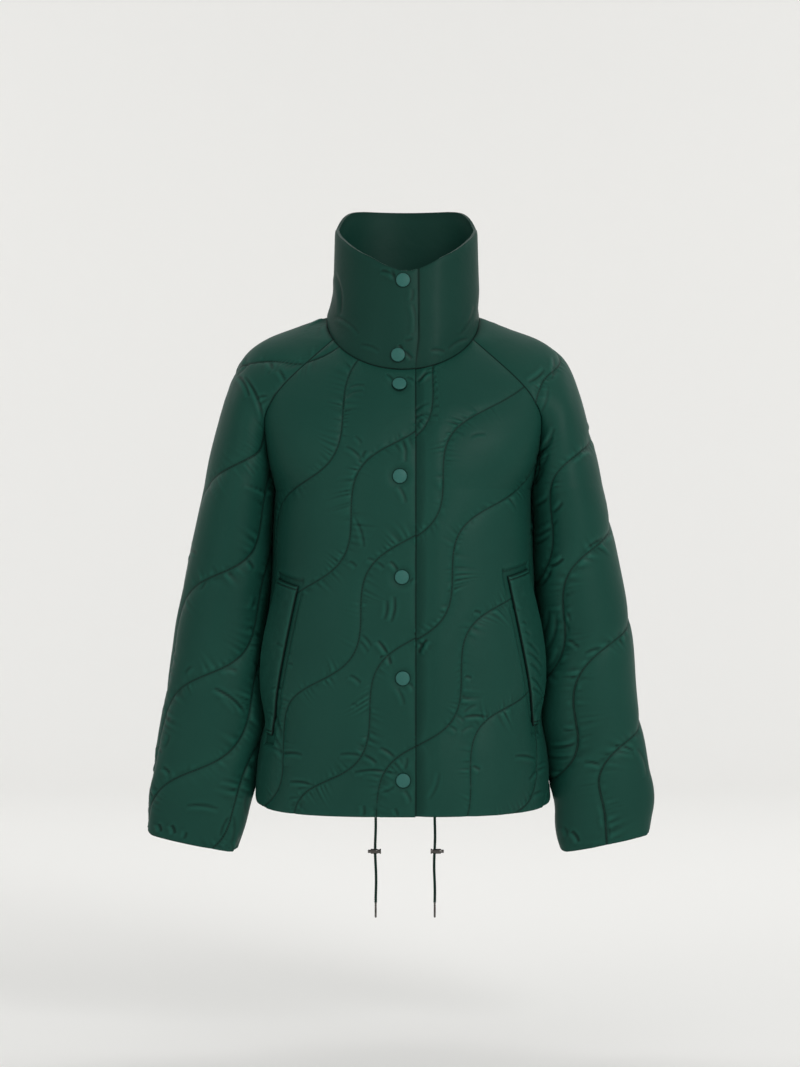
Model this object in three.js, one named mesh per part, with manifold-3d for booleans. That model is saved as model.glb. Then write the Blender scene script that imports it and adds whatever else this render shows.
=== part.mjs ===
// A short quilted jacket with a tall funnel collar, raglan sleeves, slanted welt pockets and a hem
// drawcord, filled out as when it is worn. Millimetres. +X is the wearer's left, -Y the front, +Z up,
// and the origin is the middle of the neck opening, a little below the shoulders' inner ends.

import Manifolds from "manifold-3d";
import * as THREE from "three";

// Cloth
const WALL = 2.2; // shell, wadding and lining where they are sewn flat
const PUFF = 3.8; // the wadding's rise between the quilting lines
const SEAM_GAP = 0.3; // between two pieces at a seam
const SEAM_RADIUS = 17; // the wadding comes up to its full height this far from a seam
const FOLD_RADIUS = 9; // the same at a turned edge: hem, cuff, collar top and front edge
const ROOM_NEAR = 0.6; // the larger share of the room where body and sleeve lie side by side
const ROOM_FAR = 0.3; // and the smaller one, which leaves the rest open

// Heights
const HEM = -595; // at the middle of the front and back
const HEM_LIFT = 13; // how much higher the hem is at the sides
const UNDERARM = -200;
const NECK_SIDE = 15; // the neck seam at the shoulder
const NECK_FRONT_DROP = 69; // and how far it drops from there to the front and rises to the back
const NECK_BACK_RISE = 13;

const NECK_HALF = 95; // half the neck seam's width

// Front closing: the wearer's right front lies on the left one
const OVERLAP = 15; // each front's reach past the centre
const DIP_DEPTH = 5.4; // how far the lower layer sinks under the upper one
const DIP_START = 46; // where it starts to sink

// Fineness: pieces across, up the body or sleeve, and up the part above the underarm
const ROWS_BELOW = 24;
const ROWS_ABOVE = 14;
const FRONT_COLUMNS = 16;
const BACK_COLUMNS = 26;
const SLEEVE_COLUMNS = 24;
const COLLAR_COLUMNS = 36;
const COLLAR_ROWS = 6;

// The quilting is one wavy line, repeated a step apart. Along is one wave and step is the next line,
// both as across and up on the cloth, swing is the wave's height and origin a point on one line. It is
// led by hand and wanders off that pattern, by sums of powers of the place on the cloth: these are the
// factors of s, t, st, ss, tt, ttt, stt and sst, where s is across / 100 and t is (up - middle) / 200.
const STEADY = [0, 0, 0, 0, 0, 0, 0, 0];
const QUILT = {
  frontRight: {
    along: [105, 166.6], step: [14.6, -119.1], swing: 20.4, origin: [-50, -345.8], middle: -300,
    wanderAcross: [4.2, -5.6, 0.1, 6.1, 2.3, -0.9, 5.4, 2.6],
    wanderUp: [-7.8, 2.4, -0.5, -0.5, 2.2, -5.4, 11.2, -2.2],
  },
  frontLeft: {
    along: [107.1, 162.2], step: [11.8, -120.1], swing: 20.4, origin: [-57.9, -348.7], middle: -300,
    wanderAcross: [9.1, -1, 3.3, -10.7, -4.6, 2, 7, -8.2],
    wanderUp: [-8.1, 3.7, 0, 0.7, 4.2, 0.5, 1.1, -5.1],
  },
  sleeveRight: {
    along: [102.5, 205.4], step: [2.5, -120.8], swing: 16.3, origin: [13.5, 349.3], middle: 304.5,
    wanderAcross: [-6.8, 8.5, -3.2, -7.5, 14, 0.2, -2.2, -4.4],
    wanderUp: [2.6, 0.8, 2.8, 0.5, -7.2, -3.1, 4.4, -2.5],
  },
  sleeveLeft: {
    along: [114.1, 165.6], step: [11, -118.9], swing: 25.1, origin: [6, 579], middle: 304.5,
    wanderAcross: [-6.9, 0, 3.1, 11.1, -7.2, 2.1, -1.9, -4.4],
    wanderUp: [0.6, -2.2, 1.4, 4.2, 8.8, 1.9, 3.5, -1.2],
  },
  back: {
    along: [106, 164], step: [13, -119.6], swing: 20.4, origin: [20, -300], middle: -300,
    wanderAcross: STEADY, wanderUp: STEADY,
  },
};

// Colours
const SHELL = { color: 0x21463c, roughness: 0.55, metalness: 0 };
const CAP = { color: 0x33665a, roughness: 0.45, metalness: 0 };
const BRAID = { color: 0x16392e, roughness: 0.8, metalness: 0 };
const METAL = { color: 0xb9b7b2, roughness: 0.25, metalness: 1 };

// The torso from hem to underarm: half its width, and its depth to the front and to the back.
const TORSO = [
  { at: -595, half: 181.5, front: 133, back: 131 },
  { at: -565, half: 180.5, front: 135, back: 132 },
  { at: -525, half: 176, front: 134, back: 130 },
  { at: -487, half: 170, front: 132, back: 127 },
  { at: -445, half: 173, front: 133, back: 125 },
  { at: -405, half: 172, front: 134, back: 124 },
  { at: -362, half: 167.5, front: 134, back: 125 },
  { at: -312, half: 161.5, front: 134, back: 128 },
  { at: -255, half: 159.5, front: 135, back: 131 },
  { at: -200, half: 158, front: 135, back: 133 },
];
const SIDE_Y = 4; // the side seams and the underarm
const FULLNESS = 0.7; // of a quarter of the torso: 0.55 is an ellipse and more is squarer

// Above the underarm, share 0 is the underarm and 1 the neck seam. The middle of the front and back:
// depth and height, and how far the cloth runs straight across from there.
const FRONT_MIDDLE = [
  { at: 0, y: -135, z: -200, reach: 110.6 },
  { at: 0.15, y: -134.5, z: -176, reach: 108 },
  { at: 0.3, y: -131, z: -152, reach: 101 },
  { at: 0.45, y: -125, z: -130, reach: 91 },
  { at: 0.6, y: -117, z: -108, reach: 78 },
  { at: 0.7, y: -110, z: -94, reach: 68.5 },
  { at: 0.8, y: -102.5, z: -81, reach: 58.5 },
  { at: 0.9, y: -94, z: -67, reach: 47 },
  { at: 1, y: -85, z: -54, reach: 37 },
];
const BACK_MIDDLE = [
  { at: 0, y: 133, z: -200, reach: 110.6 },
  { at: 0.15, y: 133, z: -165, reach: 108 },
  { at: 0.3, y: 131, z: -130, reach: 102 },
  { at: 0.45, y: 126, z: -96, reach: 93 },
  { at: 0.6, y: 118, z: -62, reach: 81 },
  { at: 0.7, y: 110, z: -38, reach: 70.5 },
  { at: 0.8, y: 100.5, z: -16, reach: 58 },
  { at: 0.9, y: 89, z: 6, reach: 44.5 },
  { at: 1, y: 76, z: 28, reach: 30 },
];
// The raglan seams: place, and the way that the cloth runs towards the seam on the body and away from
// it on the sleeve.
const FRONT_RAGLAN = [
  { at: 0, x: 158, y: 4, z: -200, bodyX: 0, bodyY: 94.5, bodyZ: 0, armX: 0, armY: -106, armZ: 0 },
  { at: 0.15, x: 164, y: -33, z: -170, bodyX: 6, bodyY: 70, bodyZ: 0, armX: 6, armY: -66, armZ: 2 },
  { at: 0.3, x: 168, y: -58, z: -140, bodyX: 18, bodyY: 52, bodyZ: 2, armX: 20, armY: -36, armZ: 4 },
  { at: 0.45, x: 169, y: -70, z: -112, bodyX: 32, bodyY: 36, bodyZ: 5, armX: 30, armY: -12, armZ: 6 },
  { at: 0.6, x: 159, y: -75, z: -89, bodyX: 38, bodyY: 24, bodyZ: 8, armX: 34, armY: 8, armZ: 9 },
  { at: 0.7, x: 149, y: -73, z: -75, bodyX: 38, bodyY: 18, bodyZ: 10, armX: 32, armY: 12, armZ: 10 },
  { at: 0.8, x: 135, y: -67, z: -60, bodyX: 36, bodyY: 16, bodyZ: 11, armX: 28, armY: 14, armZ: 11 },
  { at: 0.9, x: 112, y: -53, z: -38, bodyX: 28, bodyY: 20, bodyZ: 14, armX: 20, armY: 15, armZ: 11 },
  { at: 1, x: 86, y: -36, z: -14, bodyX: 16, bodyY: 30, bodyZ: 24, armX: 6, armY: 12, armZ: 9 },
];
const BACK_RAGLAN = [
  { at: 0, x: 158, y: 4, z: -200, bodyX: 0, bodyY: -93, bodyZ: 0, armX: 0, armY: 106, armZ: 0 },
  { at: 0.15, x: 164, y: 42, z: -168, bodyX: 8, bodyY: -66, bodyZ: 0, armX: 6, armY: 66, armZ: 2 },
  { at: 0.3, x: 168, y: 70, z: -134, bodyX: 22, bodyY: -48, bodyZ: 2, armX: 22, armY: 36, armZ: 4 },
  { at: 0.45, x: 167, y: 86, z: -100, bodyX: 34, bodyY: -34, bodyZ: 5, armX: 32, armY: 12, armZ: 6 },
  { at: 0.6, x: 156, y: 91, z: -68, bodyX: 38, bodyY: -24, bodyZ: 8, armX: 34, armY: -8, armZ: 9 },
  { at: 0.7, x: 143, y: 89, z: -48, bodyX: 38, bodyY: -20, bodyZ: 10, armX: 32, armY: -12, armZ: 10 },
  { at: 0.8, x: 125, y: 81, z: -26, bodyX: 34, bodyY: -20, bodyZ: 10, armX: 26, armY: -15, armZ: 9 },
  { at: 0.9, x: 102, y: 67, z: -3, bodyX: 27, bodyY: -21, bodyZ: 6, armX: 18, armY: -14, armZ: 5 },
  { at: 1, x: 76, y: 46, z: 23, bodyX: 18, bodyY: -19, bodyZ: -3, armX: 11, armY: -12, armZ: -2 },
];
// The top of the sleeve, from underarm to neck, how far the cloth runs to the front and back there, and
// how much it drops over that run to the front and rises to the back.
const OVERARM = [
  { at: 0, x: 246, y: 5, z: -196, reach: 106, drop: 0, lift: 0 },
  { at: 0.15, x: 238.5, y: 5, z: -158, reach: 92, drop: 0, lift: 0 },
  { at: 0.3, x: 228, y: 5, z: -118, reach: 76, drop: 0, lift: 0 },
  { at: 0.45, x: 217, y: 5, z: -80, reach: 60, drop: 0, lift: 0 },
  { at: 0.6, x: 204, y: 5, z: -46, reach: 47, drop: 0, lift: 0 },
  { at: 0.7, x: 189.5, y: 5, z: -27.5, reach: 40, drop: 1, lift: 0 },
  { at: 0.8, x: 166, y: 5, z: -12.5, reach: 32, drop: 3, lift: 0.5 },
  { at: 0.9, x: 131, y: 4, z: 1, reach: 23, drop: 8, lift: 1.5 },
  { at: 1, x: 95, y: 1, z: 15, reach: 15, drop: 12.2, lift: 2.6 },
];
// The sleeve below the underarm, by the height of its inner side: both sides, and half its depth.
const SLEEVE = [
  { at: -650, innerX: 207, outerX: 317, outerZ: -627, y: -8, depth: 32 },
  { at: -606, innerX: 194.5, outerX: 315, outerZ: -585, y: -7, depth: 37 },
  { at: -565, innerX: 187, outerX: 309.5, outerZ: -547, y: -5, depth: 43 },
  { at: -525, innerX: 182.5, outerX: 304, outerZ: -510, y: -3, depth: 48 },
  { at: -487, innerX: 174.5, outerX: 298, outerZ: -476, y: -1, depth: 53 },
  { at: -445, innerX: 176.5, outerX: 291.5, outerZ: -437, y: 0, depth: 57.5 },
  { at: -405, innerX: 175.5, outerX: 286, outerZ: -400, y: 2, depth: 61.5 },
  { at: -362, innerX: 171, outerX: 280, outerZ: -358, y: 3, depth: 66 },
  { at: -292, innerX: 164.5, outerX: 266.5, outerZ: -289, y: 5, depth: 72.5 },
  { at: -235, innerX: 162, outerX: 254.5, outerZ: -231, y: 5, depth: 77.5 },
  { at: -200, innerX: 158, outerX: 246, outerZ: -196, y: 4.5, depth: 79.5 },
];
const CUFF = -650;
const CUFF_ROUND = 9; // radius of the cuff's two corners, seen from the front
const LEFT_SWING = 10; // how much closer to the body the left cuff hangs than the right one
const LEFT_SLIM = 6; // how much narrower the left sleeve is on its outer side, above the cuff
const ELLIPSE_HALF = 4 / 3; // the reach of the cubic curve that makes half an ellipse

// Collar
const COLLAR_FLARE = [
  { at: 0, half: 95, front: 85, back: 76 },
  { at: 0.14, half: 90.5, front: 84, back: 74 },
  { at: 0.4, half: 88.5, front: 82, back: 71 },
  { at: 1, half: 86.5, front: 78, back: 66 },
];
const COLLAR_LEAN = 4; // how far the collar's upper part stands to the wearer's left
// Height of the collar's top edge at the front, by the share of the way from the middle to the side.
const RIM = [
  { at: 0, z: 67 },
  { at: 0.1, z: 68 },
  { at: 0.23, z: 72 },
  { at: 0.35, z: 77 },
  { at: 0.49, z: 84.5 },
  { at: 0.64, z: 91.5 },
  { at: 0.77, z: 99.5 },
  { at: 0.87, z: 107.5 },
  { at: 0.96, z: 116.5 },
  { at: 1, z: 125 },
];
const RIM_BACK = 154; // and at the middle of the back
const COLLAR_PUFF = 2.6;
const COLLAR_SEAT = 0.7; // the collar's seam stands this far above the body's

// Pocket welts, by the share of the way down: how far round the front from its centre the sewn edge
// is, and how wide the welt is from there to its free edge.
const WELT_TOP = -312; // at the sewn edge, between the two sides
const WELT_FOOT = -499;
const WELT_UNEVEN = 6; // the wearer's right welt is lower than that, and the left one higher
const WELT_SLANT = 9; // rise of the top end from the sewn edge to the free one
const WELT = [
  { at: 0, sewn: 134, width: 46 },
  { at: 0.25, sewn: 146, width: 46 },
  { at: 0.5, sewn: 158, width: 45 },
  { at: 0.75, sewn: 171, width: 38 },
  { at: 1, sewn: 184, width: 20 },
];
const WELT_THICK = 4.2;
const WELT_LIFT = 0.8; // of the sewn edge off the front
const WELT_MOUTH = 7; // more, at the middle of the free edge
const WELT_BED = 10; // the wadding is flat this far round a welt, and up again at twice as far

// Snap caps, down the front by height, and up the collar by the share of its height
const FRONT_SNAPS = [
  { x: -4.5, z: -73.5 },
  { x: -4, z: -185 },
  { x: -1.5, z: -306.5 },
  { x: -0.5, z: -428 },
  { x: 0, z: -551 },
];
const COLLAR_SNAPS = [
  { x: -6, up: 0.14 },
  { x: 0, up: 0.9 },
];
const SNAP_RADIUS = 8.5;
const SNAP_THICK = 2.8;
const SNAP_BED = 1.5; // height of the pressed wadding under a cap
const SNAP_BED_RADIUS = 17;

// Drawcord ends at the hem
const CORD_RADIUS = 1.8;
const CORD_LENGTH = 102.5;
const CORD_X = [-33, 38];
const LOCK_DROP = 41; // from the hem to the middle of the cord lock
const LOCK_SHIFT = [-1.5, 3]; // of the lock's middle from the cord
const LOCK_RADIUS = 3.2;
const LOCK_LENGTH = 16;
const LOCK_BORE = 2.1;
const TIP_LENGTH = 18;
const TIP_RADIUS = 1.3;

const TAU = 2 * Math.PI;
const clamp01 = (x) => Math.min(1, Math.max(0, x));
const ease = (x) => clamp01(x) ** 2 * (3 - 2 * clamp01(x));
const point = (x, y, z) => new THREE.Vector3(x, y, z);
// The rise of the wadding at a distance from whatever holds it down, as a share of its full height.
const rise = (distance, radius) => Math.sqrt(1 - (1 - clamp01(distance / radius)) ** 2);

// A smooth curve through a table's rows, as one row at any place between them.
function between(table, at) {
  let i = table.findIndex((row) => row.at >= at);
  i = Math.min(Math.max(i, 1), table.length - 1);
  const low = table[i - 1];
  const high = table[i];
  const before = table[i - 2] ?? low;
  const after = table[i + 1] ?? high;
  const span = high.at - low.at;
  const t = (at - low.at) / span;
  const made = {};
  for (const key of Object.keys(low)) {
    const slope = (a, b) => ((b[key] - a[key]) / (b.at - a.at)) * span;
    const start = slope(before, high);
    const end = slope(low, after);
    const change = high[key] - low[key];
    made[key] =
      low[key] + t * (start + t * (3 * change - 2 * start - end + t * (start + end - 2 * change)));
  }
  return made;
}

function bezier(a, b, c, d, t) {
  const s = 1 - t;
  return point(0, 0, 0)
    .addScaledVector(a, s * s * s)
    .addScaledVector(b, 3 * s * s * t)
    .addScaledVector(c, 3 * s * t * t)
    .addScaledVector(d, t * t * t);
}

// Height up a body panel or sleeve: rows run from 0 at the hem or cuff to ROWS_BELOW at the underarm
// and then to ROWS_BELOW + ROWS_ABOVE at the neck.
const ROWS = ROWS_BELOW + ROWS_ABOVE;
const aboveUnderarm = (row) => (row - ROWS_BELOW) / ROWS_ABOVE;
const torsoHeight = (row) => HEM + (row / ROWS_BELOW) * (UNDERARM - HEM);

// A body panel's cloth at a row, from the centre (across 0) to the side or raglan seam (across 1).
// Facing is -1 for the front and 1 for the back.
function bodyPoint(across, row, facing) {
  const share = aboveUnderarm(row);
  const s = Math.abs(across);
  let made;
  if (share < 0) {
    const z = torsoHeight(row);
    const cut = between(TORSO, z);
    const depth = facing < 0 ? cut.front : cut.back;
    made = bezier(
      point(0, facing * depth, z),
      point(FULLNESS * cut.half, facing * depth, z),
      point(cut.half, SIDE_Y + facing * FULLNESS * depth, z),
      point(cut.half, SIDE_Y, z),
      s,
    );
    made.z += HEM_LIFT * s ** 3 * (1 - row / ROWS_BELOW) ** 2;
  } else {
    const middle = between(facing < 0 ? FRONT_MIDDLE : BACK_MIDDLE, share);
    const seam = between(facing < 0 ? FRONT_RAGLAN : BACK_RAGLAN, share);
    made = bezier(
      point(0, middle.y, middle.z),
      point(middle.reach, middle.y, middle.z),
      point(seam.x - seam.bodyX, seam.y - seam.bodyY, seam.z - seam.bodyZ),
      point(seam.x, seam.y, seam.z),
      s,
    );
  }
  if (across < 0) made.x = -made.x;
  return made;
}

// The sleeve's cloth at a row: around 0 is the front seam, 0.5 the overarm and 1 the back seam.
function sleevePoint(around, row, side) {
  const share = aboveUnderarm(row);
  const back = around > 0.5;
  const s = back ? 2 - 2 * around : 2 * around;
  const facing = back ? 1 : -1;
  if (share < 0) {
    const cut = between(SLEEVE, CUFF + (row / ROWS_BELOW) * (UNDERARM - CUFF));
    const reach = facing * ELLIPSE_HALF * cut.depth;
    const swing = side > 0 ? LEFT_SWING * ease((HEM + 20 - cut.at) / 70) : 0;
    const slim = side > 0 ? LEFT_SLIM * ease((-380 - cut.at) / 100) * ease((cut.at + 620) / 60) : 0;
    const [inner, outer] = [cut.innerX - swing, cut.outerX - swing - slim];
    const made = bezier(
      point(inner, cut.y, cut.at),
      point(inner, cut.y + reach, cut.at),
      point(outer, cut.y + reach, cut.outerZ),
      point(outer, cut.y, cut.outerZ),
      s,
    );
    const fromCorner = clamp01(Math.min(made.x - inner, outer - made.x) / CUFF_ROUND);
    made.z += CUFF_ROUND * (1 - rise(fromCorner, 1)) * clamp01(1 - row / 2) ** 2;
    return made;
  }
  const seam = between(back ? BACK_RAGLAN : FRONT_RAGLAN, share);
  const top = between(OVERARM, share);
  return bezier(
    point(seam.x, seam.y, seam.z),
    point(seam.x + seam.armX, seam.y + seam.armY, seam.z + seam.armZ),
    point(top.x, top.y + facing * top.reach, top.z + (back ? top.lift : -top.drop)),
    point(top.x, top.y, top.z),
    s,
  );
}

// The collar's cloth: turn is the angle round from the centre front towards the wearer's left, and up
// runs from 0 at the neck seam to 1 at the top edge.
function collarPoint(turn, up) {
  const cos = Math.cos(turn);
  const sin = Math.sin(turn);
  const cut = between(COLLAR_FLARE, up);
  const seam = NECK_SIDE - (cos > 0 ? NECK_FRONT_DROP : NECK_BACK_RISE) * cos;
  const side = between(RIM, 1).z;
  const rim = cos > 0 ? between(RIM, Math.abs(sin)).z : RIM_BACK - (RIM_BACK - side) * sin ** 10;
  const low = seam + COLLAR_SEAT;
  const lean = COLLAR_LEAN * ease(up / 0.35);
  const depth = cos > 0 ? cut.front : cut.back;
  return point(cut.half * sin + lean, -depth * cos, low + (rim - low) * up);
}

// The point at a distance along a curve, walked from its start.
function walk(curve, distance) {
  const step = 0.02;
  let run = 0;
  let last = curve(0);
  for (let t = step; t <= 1; t += step) {
    const next = curve(t);
    const length = next.distanceTo(last);
    if (run + length >= distance) return last.lerp(next, (distance - run) / length);
    run += length;
    last = next;
  }
  return last;
}

// The wadding's room between body and sleeve at a height, or above the underarm in a row, at a distance
// from the seam or fold where they meet. The body has the larger share in front and the sleeve behind.
function armRoom(distance, row, z, facing, side, isBody) {
  const below = row < ROWS_BELOW;
  if (below && z < HEM + HEM_LIFT / 2) return Infinity;
  const bodyRow = below ? ((z - HEM) / (UNDERARM - HEM)) * ROWS_BELOW : row;
  const armRow = below ? ((z - CUFF) / (UNDERARM - CUFF)) * ROWS_BELOW : row;
  const body = walk((t) => bodyPoint(1 - t, bodyRow, facing), distance);
  const arm = walk((t) => sleevePoint(facing < 0 ? t / 2 : 1 - t / 2, armRow, side), distance);
  const share = isBody === facing < 0 ? ROOM_NEAR : ROOM_FAR;
  return share * (below ? Math.hypot(arm.x - body.x, arm.y - body.y) : body.distanceTo(arm));
}

// How a line of quilting nearest to a place on the cloth lies: its distance, and the way to it.
function nearestStitch(acrossCloth, upCloth, quilt) {
  const s = Math.min(2, Math.max(-2, acrossCloth / 100));
  const t = Math.min(1.6, Math.max(-1.6, (upCloth - quilt.middle) / 200));
  const powers = [s, t, s * t, s * s, t * t, t ** 3, s * t * t, s * s * t];
  const wander = (factors) => factors.reduce((sum, factor, k) => sum + factor * powers[k], 0);
  const across = acrossCloth + wander(quilt.wanderAcross);
  const up = upCloth + wander(quilt.wanderUp);
  const length = Math.hypot(...quilt.along);
  const [ax, az] = quilt.along.map((x) => x / length);
  const [dx, dz] = [across - quilt.origin[0], up - quilt.origin[1]];
  const along = dx * ax + dz * az;
  const aside = dx * az - dz * ax;
  const stepAlong = quilt.step[0] * ax + quilt.step[1] * az;
  const stepAside = quilt.step[0] * az - quilt.step[1] * ax;
  const guess = Math.floor(aside / stepAside);
  let best = { distance: Infinity };
  for (let k = guess - 1; k <= guess + 2; k++) {
    const phase = (TAU * (along - k * stepAlong)) / length;
    const off = aside - k * stepAside + quilt.swing * Math.sin(phase);
    const slope = -((quilt.swing * TAU) / length) * Math.cos(phase);
    const lean = 1 / (1 + slope * slope);
    const distance = Math.abs(off) * Math.sqrt(lean);
    if (distance < best.distance) {
      const back = off * lean;
      best = {
        distance,
        toAcross: -back * az + back * slope * ax,
        toUp: back * ax + back * slope * az,
      };
    }
  }
  return best;
}

// A wall of cloth as a closed solid. piece.at(column, row) gives the sewn-flat surface, with columns
// running to the right and rows up as seen from outside. The outside is raised by the wadding, and the
// inside is plain and half as fine.
function clothWall(piece) {
  const { columns, rows, at, middle, upOf } = piece;
  const step = 0.02;
  const surface = (i, j) => {
    const p = at(i, j);
    const right = at(i + step, j).sub(at(i - step, j));
    const up = at(i, Math.min(j + step, rows)).sub(at(i, Math.max(j - step, 0)));
    return { p, n: right.cross(up).normalize() };
  };
  const spots = [];
  for (let j = 0; j <= rows; j++) {
    const line = [];
    for (let i = 0; i <= columns; i++) line.push({ i, j, ...surface(i, j) });
    let run = 0;
    const along = line.map((s, i) => (run += i ? s.p.distanceTo(line[i - 1].p) : 0));
    const whole = run;
    line.forEach((s, i) => {
      s.across = along[i] - middle(along, j);
      s.right = whole - along[i];
      s.left = along[i];
    });
    spots.push(line);
  }
  spots.forEach((line, j) =>
    line.forEach((s, i) => {
      const below = spots[j - 1]?.[i];
      s.fromFoot = below ? below.fromFoot + s.p.distanceTo(below.p) : 0;
      s.up = upOf ? upOf(s) : s.p.z;
    }),
  );
  for (const line of spots) {
    for (const s of line) s.fromTop = spots[rows][s.i].fromFoot - s.fromFoot;
  }
  // The outer points, moved onto a quilting line where one passes close by.
  const cell = spots[1][0].fromFoot;
  const outer = spots.map((line, j) =>
    line.map((s, i) => {
      const edges = piece.edges(s);
      let stitch = piece.quilt ? nearestStitch(s.across, s.up, piece.quilt) : { distance: Infinity };
      let spot = s;
      const inside = i > 0 && i < columns && j > 0 && j < rows;
      if (inside && stitch.distance < 0.42 * cell) {
        const acrossStep = (line[i + 1].across - line[i - 1].across) / 2;
        const upStep = (spots[j + 1][i].up - spots[j - 1][i].up) / 2;
        const di = stitch.toAcross / acrossStep;
        const dj = stitch.toUp / upStep;
        if (Math.abs(di) < 0.49 && Math.abs(dj) < 0.49) {
          spot = { ...s, ...surface(i + di, j + dj) };
          stitch = { distance: 0 };
        }
      }
      let height = piece.puff * Math.min(rise(stitch.distance, SEAM_RADIUS), ...edges);
      if (piece.press) height = piece.press(spot, height);
      if (piece.room) height = Math.min(height, Math.max(0, piece.room(s) - SEAM_GAP / 2));
      return { p: spot.p.clone().addScaledVector(spot.n, height), height };
    }),
  );
  const inner = [];
  for (let j = 0; j <= rows; j += 2) {
    inner.push([]);
    for (let i = 0; i <= columns; i += 2) {
      inner.at(-1).push({ p: spots[j][i].p.clone().addScaledVector(spots[j][i].n, -WALL) });
    }
  }
  const solid = shellSolid(outer, inner);
  solid.spots = outer;
  return solid;
}

// Joins an outer grid of points and an inner one, half as fine, into one closed surface.
function shellSolid(outer, inner) {
  const places = [];
  const faces = [];
  const number = (grid) =>
    grid.map((line) => line.map((s) => places.push(s.p.x, s.p.y, s.p.z) / 3 - 1));
  const out = number(outer);
  const inn = number(inner);
  const low = (s) => s.height ?? 0;
  const sheet = (grid, ids, flip) => {
    for (let j = 0; j + 1 < ids.length; j++) {
      for (let i = 0; i + 1 < ids[j].length; i++) {
        const [a, b, c, d] = [ids[j][i], ids[j][i + 1], ids[j + 1][i + 1], ids[j + 1][i]];
        const rising = low(grid[j][i]) + low(grid[j + 1][i + 1]);
        const falling = low(grid[j][i + 1]) + low(grid[j + 1][i]);
        const two = rising <= falling ? [[a, b, c], [a, c, d]] : [[a, b, d], [b, c, d]];
        for (const f of two) faces.push(...(flip ? f.reverse() : f));
      }
    }
  };
  sheet(outer, out, false);
  sheet(inner, inn, true);
  const loop = (ids) => [
    ...ids[0].slice(0, -1),
    ...ids.slice(0, -1).map((line) => line.at(-1)),
    ...ids.at(-1).slice(1).reverse(),
    ...ids.slice(1).map((line) => line[0]).reverse(),
  ];
  const rim = loop(out);
  const hem = loop(inn);
  hem.forEach((a, k) => {
    const b = hem[(k + 1) % hem.length];
    const [p, q, r] = [0, 1, 2].map((n) => rim[(2 * k + n) % rim.length]);
    faces.push(a, q, p, a, b, q, b, r, q);
  });
  const solid = new THREE.BufferGeometry();
  solid.setAttribute("position", new THREE.Float32BufferAttribute(places, 3));
  solid.setIndex(faces);
  solid.computeVertexNormals();
  return solid;
}

// How high a solid's outer points stand along an axis, within a radius of a place.
function highest(spots, place, axis, radius) {
  let best = -Infinity;
  const steps = 6;
  for (let j = 0; j + 1 < spots.length; j++) {
    for (let i = 0; i + 1 < spots[j].length; i++) {
      const corners = [spots[j][i], spots[j][i + 1], spots[j + 1][i], spots[j + 1][i + 1]];
      if (corners[0].p.distanceTo(place) > 4 * radius) continue;
      for (let a = 0; a <= steps; a++) {
        for (let b = 0; b <= steps; b++) {
          const low = corners[0].p.clone().lerp(corners[1].p, a / steps);
          const high = corners[2].p.clone().lerp(corners[3].p, a / steps);
          const off = low.lerp(high, b / steps).sub(place);
          const up = off.dot(axis);
          if (off.addScaledVector(axis, -up).length() <= radius) best = Math.max(best, up);
        }
      }
    }
  }
  return best;
}

// A round solid about the Y axis from its radii and heights.
const turned = (profile, sides) =>
  new THREE.LatheGeometry(profile.map(([r, y]) => new THREE.Vector2(r, y)), sides);

const jacket = new THREE.Group();
function add(name, geometry, look) {
  const mesh = new THREE.Mesh(geometry, new THREE.MeshStandardMaterial(look));
  mesh.name = name;
  jacket.add(mesh);
  return mesh;
}

// Pulls a column in from a panel's two seams, so that neighbours stay apart.
const inset = (share, width) => {
  const gap = SEAM_GAP / 2 / width;
  return gap + share * (1 - 2 * gap);
};

// Wadding pressed down under the welt and, on the upper front, round each snap.
function pressFront(spot, height, side) {
  const long = WELT_TOP - WELT_FOOT;
  const drop = (WELT_TOP + side * WELT_UNEVEN - spot.p.z) / long;
  const strip = between(WELT, clamp01(drop));
  const out = side * spot.across - strip.sewn;
  const past = Math.max(-drop * long - WELT_SLANT, (drop - 1) * long);
  const away = Math.max(-out, out - strip.width, past);
  let made = height * ease((away - WELT_BED) / WELT_BED);
  for (const snap of side < 0 ? FRONT_SNAPS : []) {
    const r = Math.hypot(spot.p.x - snap.x, spot.p.z - snap.z);
    made += (SNAP_BED - made) * (1 - ease((r - SNAP_RADIUS) / (SNAP_BED_RADIUS - SNAP_RADIUS)));
  }
  return made;
}

// How far the lower front and the collar's lower end sink, by the distance past where they start.
const dip = (across) => DIP_DEPTH * ease((DIP_START - across) / (DIP_START - OVERLAP));

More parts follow.
